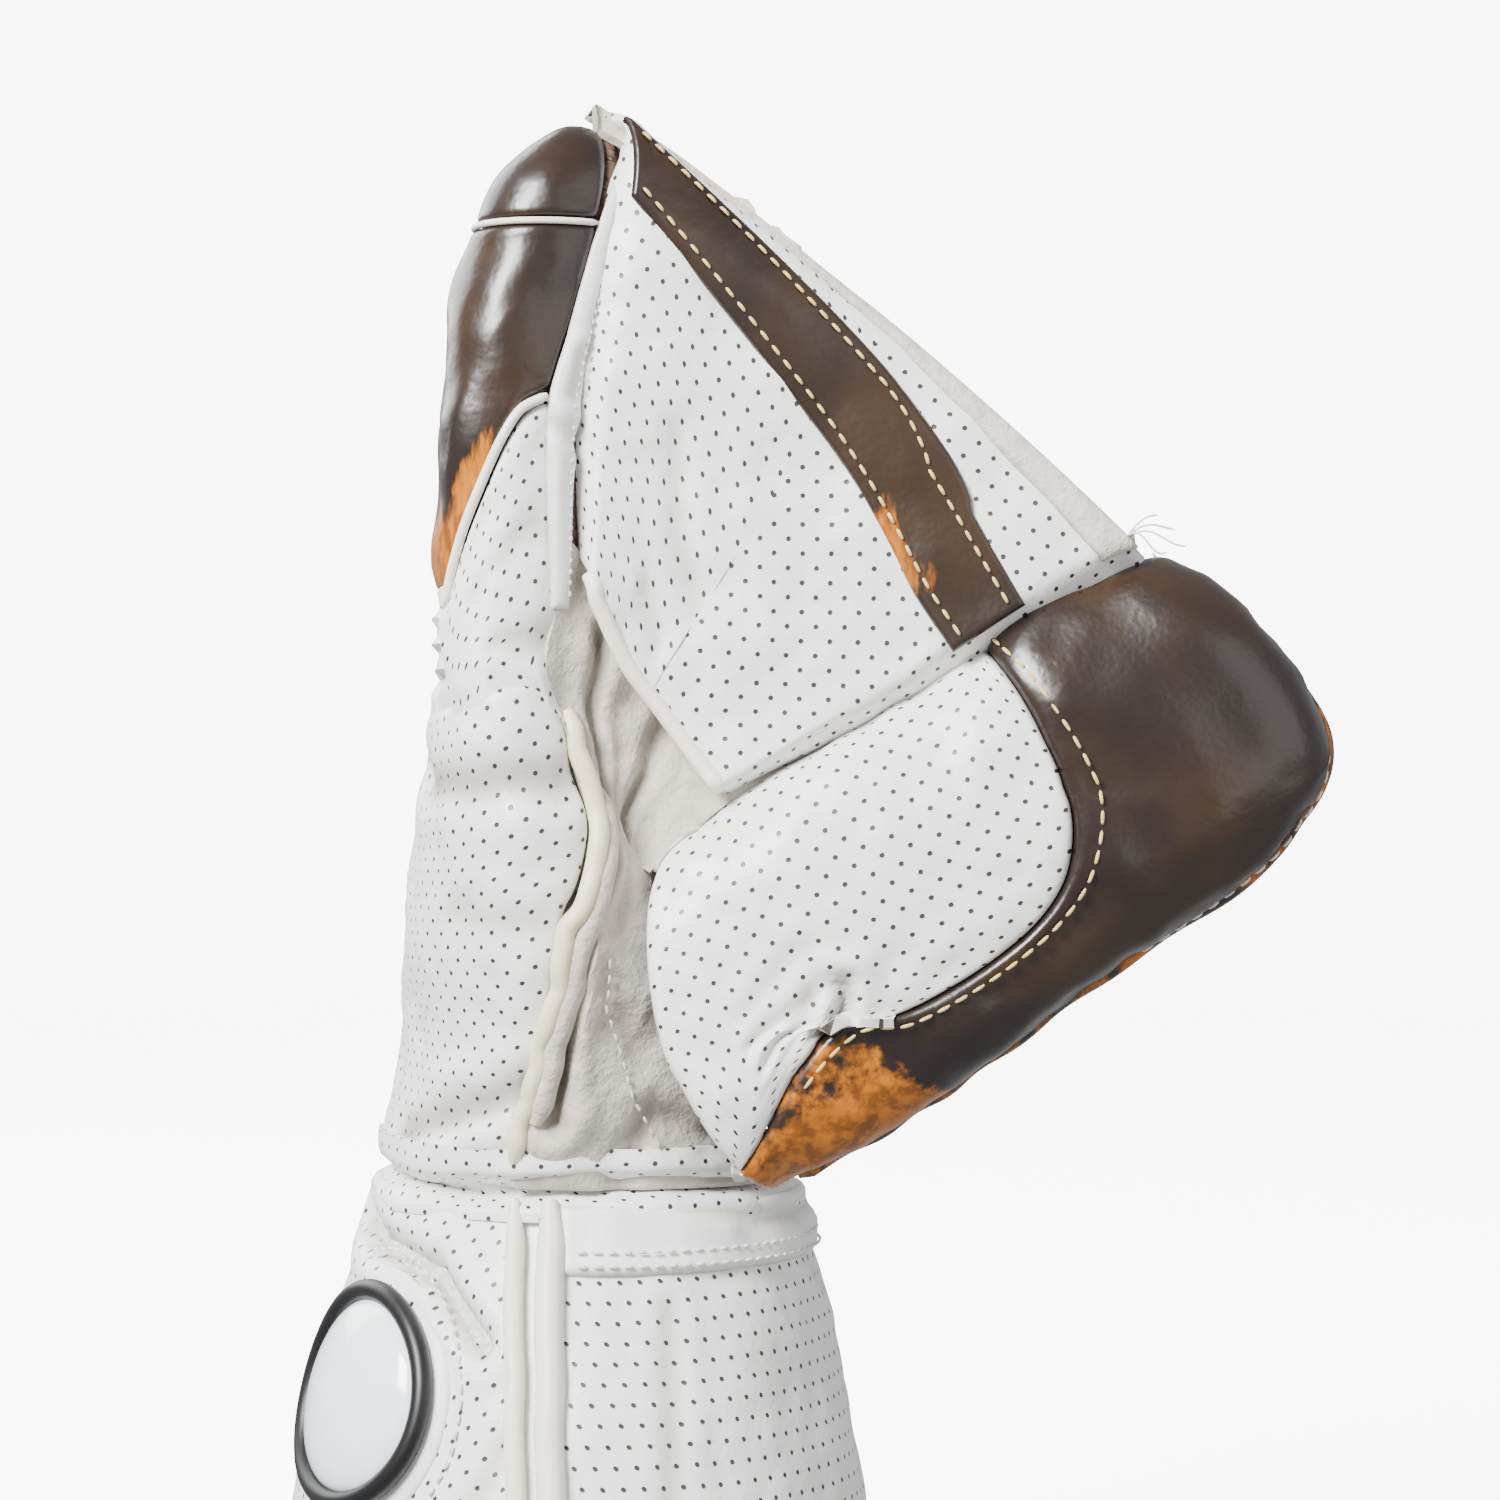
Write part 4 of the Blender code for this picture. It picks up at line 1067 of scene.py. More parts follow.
class GLOVE_OT_badge(bpy.types.Operator):
    """Makes the cuff's raised gloss badge, plain, with its border and stitched surround"""

    bl_idname = "glove.badge"
    bl_label = "Badge"

    def execute(self, context):
        sizes, colours = glove_settings(context)
        radius = (MOUTH_HALF_X + MOUTH_HALF_Y) / 2

        def place(x, y, lift):
            angle = BADGE_ANGLE + np.degrees(x / radius)
            return lifted(cuff_point, angle, BADGE_HEIGHT + y, lift)

        self.dome("badge_leather_pad", "badge_base", place, (0.0305, 0.0265), (0.0002, 0.0026), 4.0,
                  leather_white("badge_leather", sizes, colours), "white_leather")
        self.dome("badge_dome", "badge_face", place, (0.0235, 0.0195), (0.0026, 0.0078), 2.2,
                  gloss_skin("badge_gloss", colours.badge), "gloss_white")
        black = gloss_skin("badge_black", colours.black, 0.42)
        turn = np.linspace(0, 2 * math.pi, 65)
        rim = place(0.0252 * np.cos(turn), 0.0212 * np.sin(turn), 0.0036 + 0 * turn)
        border = make_tube("badge_ring", rim[:-1], 0.0022, black, taper=False, closed=True)
        rider(border, "cuff", "badge_border", slot="gloss_black")
        turn = np.linspace(0, 2 * math.pi, 97)
        ring = place(0.0345 * np.cos(turn), 0.0300 * np.sin(turn), 0.0010 + 0 * turn)
        outward = place(0.0345 * np.cos(turn), 0.0300 * np.sin(turn), 0.0020 + 0 * turn) - ring
        thread = thread_skin("badge_thread", (0.86, 0.86, 0.84))
        rider(make_stitches("badge_stitching", ring, outward, thread, sizes), "cuff")
        return {"FINISHED"}

    def dome(self, name, node, place, half, lifts, power, skin, slot):
        """A low dome on an oval, steeper at its edge for a higher power."""
        bpy.ops.mesh.primitive_uv_sphere_add(segments=64, ring_count=32, radius=1)
        obj = bpy.context.object
        obj.name = name
        points = points_of(obj)
        far = np.hypot(points[:, 0], points[:, 1])
        low, high = lifts
        swell = (1 - np.clip(far, 0, 1) ** power) ** (1 / 2)
        lift = np.where(points[:, 2] > 0, low + (high - low) * swell, low - 0.0008)
        moved = place(points[:, 0] * half[0], points[:, 1] * half[1], lift)
        reshape(obj, moved)
        rider(dressed(obj, skin), "cuff", node, slot=slot)


class GLOVE_OT_wrist(bpy.types.Operator):
    """Makes the soft fold of leather between the cuff and the hand"""

    bl_idname = "glove.wrist"
    bl_label = "Wrist fold"

    def execute(self, context):
        sizes, colours = glove_settings(context)
        skin = leather_white("wrist_leather", sizes, colours, holes="turned")

        def ring(u, v):
            angle = mix(90, 450, u)
            low = cuff_point(angle, CUFF_HEIGHT - 0.003 + 0 * u)
            high = hand_point(angle, HAND_Z + 0.002 + 0 * u)
            inwards = unit((stack(CUFF_X, CUFF_Y, low[..., 2]) - low) * np.array((1, 1, 0)))
            share = np.clip(v, 0, 1)
            height = mix(low[..., 2], high[..., 2], share)
            flat = low + (high - low) * smooth(0.25, 0.70, share)[..., None]
            flat[..., 2] = height
            middle = 0.42 + 0.05 * np.sin(np.radians(angle) * 3)
            depth = 0.0075 * np.exp(-(((share - middle) / 0.13) ** 2)) - 0.0008
            return flat + inwards * depth[..., None]

        fold = make_sheet("wrist_fold", ring, skin, sizes, wall=0.0014, edges="", ruck=0.0008,
                          seed=7.0)
        joined(fold, "cuff", "hand", (CUFF_X, CUFF_Y, CUFF_HEIGHT - 0.001),
               (CUFF_X, CUFF_Y, HAND_Z + 0.001),
               "wrist_band", slot="white_leather")
        return {"FINISHED"}


class GLOVE_OT_hand(bpy.types.Operator):
    """Makes the hand: punched back, palm rubber, side wall, suede gusset, welt and padding"""

    bl_idname = "glove.hand"
    bl_label = "Hand"

    def execute(self, context):
        sizes, colours = glove_settings(context)
        turned = leather_white("hand_back_leather", sizes, colours, holes="turned")
        side = leather_white("hand_side_leather", sizes, colours, holes="straight")

        def back(u, v):
            low = mix(97.0, 240.0, u)
            z = mix(HAND_Z, hand_top(low) - 0.0006, v)
            edge = curve_at(WELT_HEIGHTS, np.clip(z, 0.121, 0.218))
            angle = mix(97.0, edge - 1.0, u)
            return hand_point(angle, mix(HAND_Z, hand_top(angle) - 0.0006, v))

        folds = (
            (((0.62, 0.02), (0.85, 0.09), (0.99, 0.14)), 0.0045, 0.0018),
            (((0.55, 0.86), (0.80, 0.83), (0.97, 0.80)), 0.0050, 0.0017),
            (((0.80, 0.55), (0.97, 0.50)), 0.0040, 0.0006),
            (((0.30, 0.85), (0.55, 0.90)), 0.0040, 0.0007),
        )
        panel = make_sheet("hand_back_leather", back, turned, sizes, folds=folds, crown=0.0026,
                           roll=0.0030,
                           ruck=0.0008, seed=8.0)
        rider(panel, "hand", "back_hand_panel", slot="white_leather")
        palm = span(lambda a, s: hand_point(a, mix(HAND_Z, hand_top(a) - 0.0006, s)), 332.0, 419.0,
                    0.0, 1.0)
        rubber = rubber_skin("palm_rubber", colours)
        palm_folds = (
            (((0.05, 0.45), (0.35, 0.55), (0.75, 0.50), (0.98, 0.35)), 0.0030, 0.0012),
            (((0.02, 0.72), (0.40, 0.78), (0.95, 0.74)), 0.0030, 0.0010),
            (((0.10, 0.18), (0.30, 0.30), (0.50, 0.20)), 0.0040, 0.0010),
        )
        face = make_sheet("palm_rubber_face", palm, rubber, sizes, wall=0.0022, folds=palm_folds,
                          crown=0.0010, seed=9.0)
        rider(face, "hand", "palm_face", slot="palm_rubber")
        wall = span(lambda a, s: hand_point(a, mix(HAND_Z, hand_top(a) - 0.0006, s)), 61.0, 95.5,
                    0.0, 1.0)
        panel = make_sheet("hand_side_wall", wall, side, sizes, crown=0.0010, seed=10.0)
        rider(panel, "hand", "ulnar_wall", slot="white_leather")

        def gusset(u, v):
            z = mix(HAND_Z - 0.0070, KNUCKLE_Z - 0.0060, v)
            return hand_point(mix(curve_at(WELT_HEIGHTS, np.clip(z, 0.121, 0.218)) - 0.5, 331.5, u),
                              z)

        suede = suede_skin("gusset_suede", colours.suede)
        folds = (
            (((0.10, 0.14), (0.06, 0.32), (0.06, 0.48), (0.10, 0.64)), 0.0028, 0.0034),
            (((0.30, 0.02), (0.42, 0.16), (0.70, 0.10)), 0.0030, 0.0014),
            (((0.20, 0.40), (0.34, 0.30), (0.60, 0.34)), 0.0040, 0.0008),
            (((0.35, 0.72), (0.55, 0.78), (0.80, 0.70)), 0.0040, 0.0018),
        )
        panel = make_sheet("thumb_gusset", gusset, suede, sizes, lift=-0.0010, folds=folds,
                           ruck=0.0012,
                           roll=0.0012, seed=11.0)
        joined(panel, "cuff", "hand", (CUFF_X, CUFF_Y, HAND_Z - 0.0060),
               (CUFF_X, CUFF_Y, HAND_Z + 0.0100),
               "radial_gusset", slot="suede")
        self.make_crotch(suede, sizes)
        thread = thread_skin("gusset_thread", (0.55, 0.52, 0.50))
        row = stitch_row("gusset_stitching", hand_point,
                         ((275.5, 0.1640), (270.5, 0.1535), (271.5, 0.1345),
                                                          (277.0, 0.1235)), thread, sizes, 0.0003)
        rider(row, "hand")
        heights = np.linspace(0.1215, 0.2140, 24)
        angles = curve_at(WELT_HEIGHTS, heights)
        wander = 0.7 * np.sin(heights * 330) + 0.4 * np.sin(heights * 810)
        path = lifted(hand_point, angles + wander, heights, 0.0006 + 0.0003 * np.sin(heights * 510))
        welt = piping_skin("yellow_welt", colours.welt)
        rider(make_tube("gusset_welt", path, 0.0021, welt), "hand", "radial_welt",
              slot="yellow_welt")
        path = lifted(hand_point, angles + 4.6 + wander * 0.6, heights, 0.0001 + 0 * heights)
        ridge = make_tube("gusset_ridge", path[2:20], 0.0024, suede)
        rider(ridge, "hand", slot="suede")
        foam = lining_skin("hand_foam", colours)
        gap = sizes.leather + 0.0014
        pad = make_sheet("hand_back_pad", span(back, 0.02, 0.97, 0.01, 0.96), foam, sizes,
                         wall=0.0042,
                         lift=-gap, ruck=0.0002, step=0.0030, seed=12.0)
        rider(pad, "hand", "back_hand_padding", slot="foam")
        pad = make_sheet("hand_palm_pad", span(palm, 0.02, 0.98, 0.01, 0.96), foam, sizes,
                         wall=0.0050,
                         lift=-gap - 0.0010, ruck=0.0002, step=0.0030, seed=13.0)
        rider(pad, "hand", "palm_padding", slot="foam")
        return {"FINISHED"}

    def make_crotch(self, suede, sizes):
        """The suede pocket between the hand, the index finger and the thumb, under the web."""

        def pocket(u, v):
            left = sleeve_point("index", mix(288.0, 302.0, v), mix(-0.0400, 0.0260, v))
            right = thumb_point(mix(20.0, 10.0, v), mix(0.0120, 0.0480, v))
            sag = (0.0030 + 0.0060 * v) * np.sin(np.pi * np.clip(u, 0, 1))
            return left + (right - left) * u[..., None] - FRONT * sag[..., None]

        folds = (
            (((0.20, 0.02), (0.30, 0.40), (0.24, 0.80)), 0.0026, 0.0020),
            (((0.50, 0.10), (0.62, 0.45), (0.60, 0.80)), 0.0030, 0.0018),
        )
        pouch = make_sheet("web_pocket", pocket, suede, sizes, wall=0.0014, edges="", folds=folds,
                           ruck=0.0012,
                           seed=14.0)
        start = pocket(np.array([0.25]), np.array([0.3]))[0]
        end = pocket(np.array([0.95]), np.array([0.3]))[0]
        joined(pouch, "hand", "thumb", start, end, slot="suede")


def hand_angle(y):
    """The angle on the hand's back that lies this far across it."""
    share = np.clip(y / HAND_SECTIONS[-1][3], -1, 1)
    return 180 - np.degrees(np.arcsin(np.sign(share) * np.abs(share) ** (HAND_POWER / 2)))


def sleeve_point(name, angle, height):
    """A finger's surface that opens out below the knuckle to meet the top of the hand."""
    stall = finger_point(name, angle, np.maximum(height, 0))
    stall = stall + stack(0, 0, np.minimum(height, 0))
    y = stall[..., 1] - CUFF_Y
    around = hand_angle(y)
    around = np.where(np.mod(angle, 360) > 270, 540 - around, around)
    around = np.where(np.mod(angle, 360) < 90, 180 - around, around)
    top = hand_point(around, KNUCKLE_Z + height)
    share = smooth(0.010, -0.010, height)
    return stall + (top - stall) * share[..., None]


class GLOVE_OT_fingers(bpy.types.Operator):
    """Makes the fingers' caps, walls, rubber fronts and knuckle sleeves"""

    bl_idname = "glove.fingers"
    bl_label = "Fingers"

    def execute(self, context):
        sizes, colours = glove_settings(context)
        brown = leather_brown("finger_brown", colours)
        white = leather_white("finger_side_leather", sizes, colours, holes="straight")
        sleeve = leather_white("knuckle_leather", sizes, colours)
        rubber = rubber_skin("finger_rubber", colours)
        cream = piping_skin("finger_cream", colours.cream)
        for k, name in enumerate(FINGERS):
            self.make_finger(name, k * 7.0 + 20.0, sizes, (brown, white, sleeve, rubber, cream))
        return {"FINISHED"}

    def make_finger(self, name, seed, sizes, skins):
        brown, white, sleeve, rubber, cream = skins
        cap_from = FINGERS[name][2] - 0.0215
        end = finger_end(name) - 0.0002

        def wall(low_angle, high_angle, top):
            def place(u, v):
                angle = mix(low_angle, high_angle, u)
                return finger_point(name, angle, mix(stall_foot(angle), top, v))

            return place

        front = make_sheet(f"{name}_rubber", wall(-52, 52, end), rubber, sizes, crown=0.0014,
                           seed=seed)
        rider(front, name, f"{name}_palm", slot="palm_rubber")
        side = make_sheet(f"{name}_outer_side", wall(54, 126, cap_from), white, sizes, crown=0.0008,
                          seed=seed + 1)
        rider(side, name, f"{name}_side_ulnar", slot="white_leather")
        if name != "index":
            side = make_sheet(f"{name}_inner_side", wall(234, 306, cap_from), white, sizes,
                              crown=0.0008,
                              seed=seed + 2)
            rider(side, name, f"{name}_side_radial", slot="white_leather")

            def flame(u, v):
                return smooth(0.35, 0.0, v)

            back = make_sheet(f"{name}_brown_back", wall(128, 232, cap_from), brown, sizes,
                              crown=0.0016, flame=flame,
                              seed=seed + 3)
            rider(back, name, f"{name}_back", slot="brown_leather")
        high = 307 if name == "index" else 306
        cap = make_sheet(f"{name}_cap", span(lambda a, r: finger_point(name, a, r), 54, high,
                                             cap_from + 0.0006, end),
                         brown, sizes, crown=0.0012, seed=seed + 4)
        rider(cap, name, f"{name}_tip", slot="brown_leather")
        angles = np.linspace(56, high - 2, 40)
        line = lifted(lambda a, r: finger_point(name, a, r), angles, cap_from + 0 * angles,
                      -0.0002 + 0 * angles)
        rider(make_tube(f"{name}_cap_line", line, 0.0007, cream), name)
        low = 58 if name == "little" else 108
        high = 197 if name == "index" else 252

        def knuckle(u, v):
            angle = mix(low, high, u)
            return sleeve_point(name, angle, mix(-0.0125, stall_foot(angle) + 0.0006, v))

        ribs = tuple((((0.04, v), (0.96, v)), 0.0013, 0.0010) for v in (0.28, 0.45, 0.62, 0.79))
        bend = make_sheet(f"{name}_sleeve", knuckle, sleeve, sizes, lift=-0.0003, folds=ribs,
                          edges="uU",
                          wall=0.0013, seed=seed + 5)
        centre = finger_centre(name, 0.0)
        joined(bend, "hand", name, centre - np.array((0, 0, 0.011)),
               centre + np.array((0, 0, 0.011)),
               f"{name}_knuckle", slot="white_leather")


class GLOVE_OT_index_side(bpy.types.Operator):
    """Makes the index finger's brown back, punched side, curved piping and closing strip"""

    bl_idname = "glove.index_side"
    bl_label = "Index finger side"

    def execute(self, context):
        sizes, colours = glove_settings(context)
        brown = leather_brown("index_brown", colours, streak=(70.0, 70.0, 16.0))
        white = leather_white("index_leather", sizes, colours, holes="turned")
        plain = leather_white("index_strip_leather", sizes, colours)
        cap_from = FINGERS["index"][2] - 0.0215

        def side(a, r):
            return sleeve_point("index", a, r)

        def low_edge(angle):
            line = curve_at(INDEX_PIPE_LINE, np.clip(angle, 196, 283))
            return np.where(angle < 200, 0.0125, line)

        def back(u, v):
            guess = mix(127.0, curve_at(STRIP_LOW, mix(0.053, cap_from, v)) + STRIP_LAP, u)
            return finger_point("index", guess, mix(low_edge(guess) + 0.0006, cap_from, v))

        def flame(u, v):
            return smooth(0.42, 0.05, v) * smooth(0.92, 0.55, u)

        panel = make_sheet("index_brown_back", back, brown, sizes, crown=0.0020, flame=flame,
                           roll=0.0024, seed=50.0,
                           ruck=0.0007)
        rider(panel, "index", "index_back", slot="brown_leather")

        def white_side(u, v):
            angle = mix(194.0, 285.5, u)
            top = low_edge(angle) - 0.0004
            reach = mix(-0.0130, top, v)
            edge = curve_at(STRIP_LOW, np.clip(reach, 0.012, 0.116)) + STRIP_LAP
            edge = edge + 10 * smooth(0.020, 0.004, reach)
            return side(mix(194.0, edge, u), reach)

        folds = ((((0.55, 0.30), (0.98, 0.26)), 0.0035, 0.0008),
                 (((0.40, 0.62), (0.90, 0.60)), 0.0040, 0.0005))
        panel = make_sheet("index_punched_side", white_side, white, sizes, crown=0.0012, edges="UV",
                           folds=folds,
                           ruck=0.0007, seed=51.0)
        centre = finger_centre("index", 0.0)
        joined(panel, "hand", "index", centre - np.array((0, 0, 0.0125)),
               centre + np.array((0, 0, 0.012)),
               "index_side_radial", slot="white_leather")
        cream = piping_skin("index_cream", colours.cream)
        knots = np.linspace(0, 1, 30)
        angle, reach = along_line(INDEX_PIPE_LINE, knots)
        path = lifted(lambda a, r: finger_point("index", a, r), angle, reach, 0.0003 + 0 * knots)
        rider(make_tube("index_curved_piping", path, 0.0010, cream), "index", "index_piping",
              slot="cream_piping")

        tip = finger_point("index", 320.0, finger_end("index") - 0.003)
        corner = web_point(0.045, 1.135)

        def strip(u, v):
            reach = mix(0.0095, finger_end("index") - 0.003, v)
            angle = mix(curve_at(STRIP_LOW, reach), curve_at(STRIP_HIGH, reach), u)
            away = smooth(0.085, finger_end("index"), reach)
            return finger_point("index", angle, reach) + (corner - tip) * away[..., None]

        folds = ((((0.50, 0.42), (0.60, 0.50)), 0.0020, 0.0008),
                 (((0.1, 0.36), (0.9, 0.33)), 0.0020, 0.0007))
        band = make_sheet("index_closing_strip", strip, plain, sizes, lift=0.0016, crown=0.0010,
                          roll=0.0016,
                          ruck=0.0006, folds=folds, seed=52.0, step=0.0011)
        rider(band, "index", "index_seam_strip", slot="white_leather")
        thread = thread_skin("strip_thread", (0.62, 0.60, 0.58))
        row = stitch_row("strip_stitching", strip, ((0.62, 0.02), (0.62, 0.98)), thread, sizes,
                         0.0025, 0.0012)
        rider(row, "index")
        return {"FINISHED"}


class GLOVE_OT_thumb(bpy.types.Operator):
    """Makes the thumb: punched panel, brown cap, raised rim and rubber rear"""

    bl_idname = "glove.thumb"
    bl_label = "Thumb"

    def execute(self, context):
        sizes, colours = glove_settings(context)
        white = leather_white("thumb_leather", sizes, colours, holes="straight")
        brown = leather_brown("thumb_brown", colours, streak=(34.0, 34.0, 34.0))
        rubber = rubber_skin("thumb_rubber", colours)
        edge = on_thumb(THUMB_PANEL_EDGE)
        seam = on_thumb(THUMB_CAP_SEAM)
        rim = on_thumb(THUMB_RIM)
        folds = (
            (((1.00, 0.22), (0.87, 0.25), (0.75, 0.31), (0.66, 0.37)), 0.0026, 0.0026),
            (((0.60, 0.20), (0.62, 0.27), (0.58, 0.36)), 0.0030, 0.0009),
            (((0.45, 0.22), (0.55, 0.30), (0.62, 0.36)), 0.0026, 0.0008),
            (((0.35, 0.26), (0.45, 0.33), (0.50, 0.40)), 0.0026, 0.0006),
        )
        panel = make_sheet("thumb_punched_panel", loft(thumb_point, edge, seam), white, sizes,
                           crown=0.0020,
                           roll=0.0024, folds=folds, ruck=0.0009, seed=60.0)
        rider(panel, "thumb", "thumb_back_panel", slot="white_leather")

        def flame(u, v):
            base = smooth(0.34, 0.16, v)
            rim_glow = smooth(0.72, 0.98, u) * smooth(0.45, 0.55, v) * smooth(0.80, 0.66, v)
            lower = smooth(0.55, 0.95, u) * smooth(0.50, 0.30, v) * 0.85
            return np.maximum(np.maximum(base * (0.65 + 0.35 * smooth(0.0, 0.5, u)),
                                         rim_glow * 0.9), lower)

        cap_place = loft(thumb_point, seam, rim)
        cap = make_sheet("thumb_cap", cap_place, brown, sizes, lift=0.0010, crown=0.0012,
                         roll=0.0022,
                         edges="uv", flame=flame, ruck=0.0010, seed=61.0)
        rider(cap, "thumb", "thumb_cap_back", slot="brown_leather")
        start = THUMB_END - THUMB_DOME

        def rear(low, high, top):
            def place(u, v):
                angle = mix(low, high, u)
                return thumb_point(angle, mix(thumb_start(angle), top, v))

            return place

        wall = make_sheet("thumb_outer_wall", rear(179, 206, start), brown, sizes, lift=0.0006,
                          edges="U", seed=62.0)
        rider(wall, "thumb", "thumb_cap_rim", slot="brown_leather")
        tip = make_sheet("thumb_end", span(thumb_point, 179, 361, start, THUMB_TIP - 0.0004), brown,
                         sizes,
                         lift=0.0006, edges="v", seed=63.0)
        rider(tip, "thumb", "thumb_tip", slot="brown_leather")
        wall = make_sheet("thumb_rubber_rear", rear(206, 330, start), rubber, sizes, crown=0.0010,
                          seed=64.0)
        rider(wall, "thumb", "thumb_palm", slot="palm_rubber")
        wall = make_sheet("thumb_inner_wall", rear(331, 360.5, start), white, sizes, crown=0.0004,
                          seed=65.0)
        rider(wall, "thumb", "thumb_web_side", slot="white_leather")
        share = np.linspace(0.03, 0.80, 60)
        angle, reach = along_line(rim, share)
        path = lifted(thumb_point, angle, reach, -0.0002 + 0.0004 * np.sin(share * 57))
        welt = make_tube("thumb_rim", path, 0.0027, leather_brown("rim_brown", colours), amber=0.62)
        rider(welt, "thumb", "thumb_rim_welt", slot="brown_leather")
        gold = thread_skin("gold_thread", colours.gold)
        row = stitch_row("thumb_seam_stitching", cap_place,
                         tuple((0.07, v) for v in np.linspace(0.13, 0.985, 24)),
                         gold, sizes, 0.0016, 0.0030)
        rider(row, "thumb")
        row = stitch_row("thumb_rim_stitching", cap_place,
                         tuple((0.90, v) for v in np.linspace(0.50, 0.97, 24)),
                         thread_skin("rim_thread", (0.80, 0.74, 0.66)), sizes, 0.0013, 0.0030)
        rider(row, "thumb")
        return {"FINISHED"}


# where the web's two halves meet, where it tucks in at the finger, where it ends at the thumb
WEB_MIDDLE = 0.5
WEB_TUCK = -0.11
WEB_END = 1.05
# how far from its middle each half has turned with its side
WEB_BEND = 0.026
# how far each loose thread end reaches, how far it rises, and how much it curls
LOOSE_ENDS = (
    (0.0120, -0.0010, 5.0), (0.0095, 0.0022, 4.0), (0.0080, -0.0030, 6.0), (0.0060, 0.0040, 3.0),
)


def web_cloth(u, v):
    """The visible web: its lower edge dips and its top edge reaches the fingertip."""
    at = np.clip(u, 0, 1)
    u = u + 0.13 * smooth(0.20, WEB_TUCK, u) * smooth(0.55, 1.0, v)
    sunk = 0.0060 * smooth(0.05, WEB_TUCK, u) + 0.0070 * smooth(0.975, WEB_END, u)
    flat = web_point(u, mix(curve_at(WEB_LOW_EDGE, at), curve_at(WEB_HIGH_EDGE, at), v))
    return flat - FRONT * sunk[..., None]


def stripe_cloth(u, v):
    at = np.clip(u, 0, 1)
    return web_point(u, mix(curve_at(STRIPE_LOW_EDGE, at), curve_at(STRIPE_HIGH_EDGE, at), v))


def web_bend(side):
    """Where the web starts to turn with the finger or the thumb, and where it has turned."""
    start = web_cloth(np.array([WEB_MIDDLE]), np.array([0.0]))[0]
    up = np.array((0, 0, 1))
    if side == "index":
        return start, start - (RIGHT * 0.906 - up * 0.42) * WEB_BEND
    return start, start + (RIGHT * 0.53 - up * 0.85) * WEB_BEND


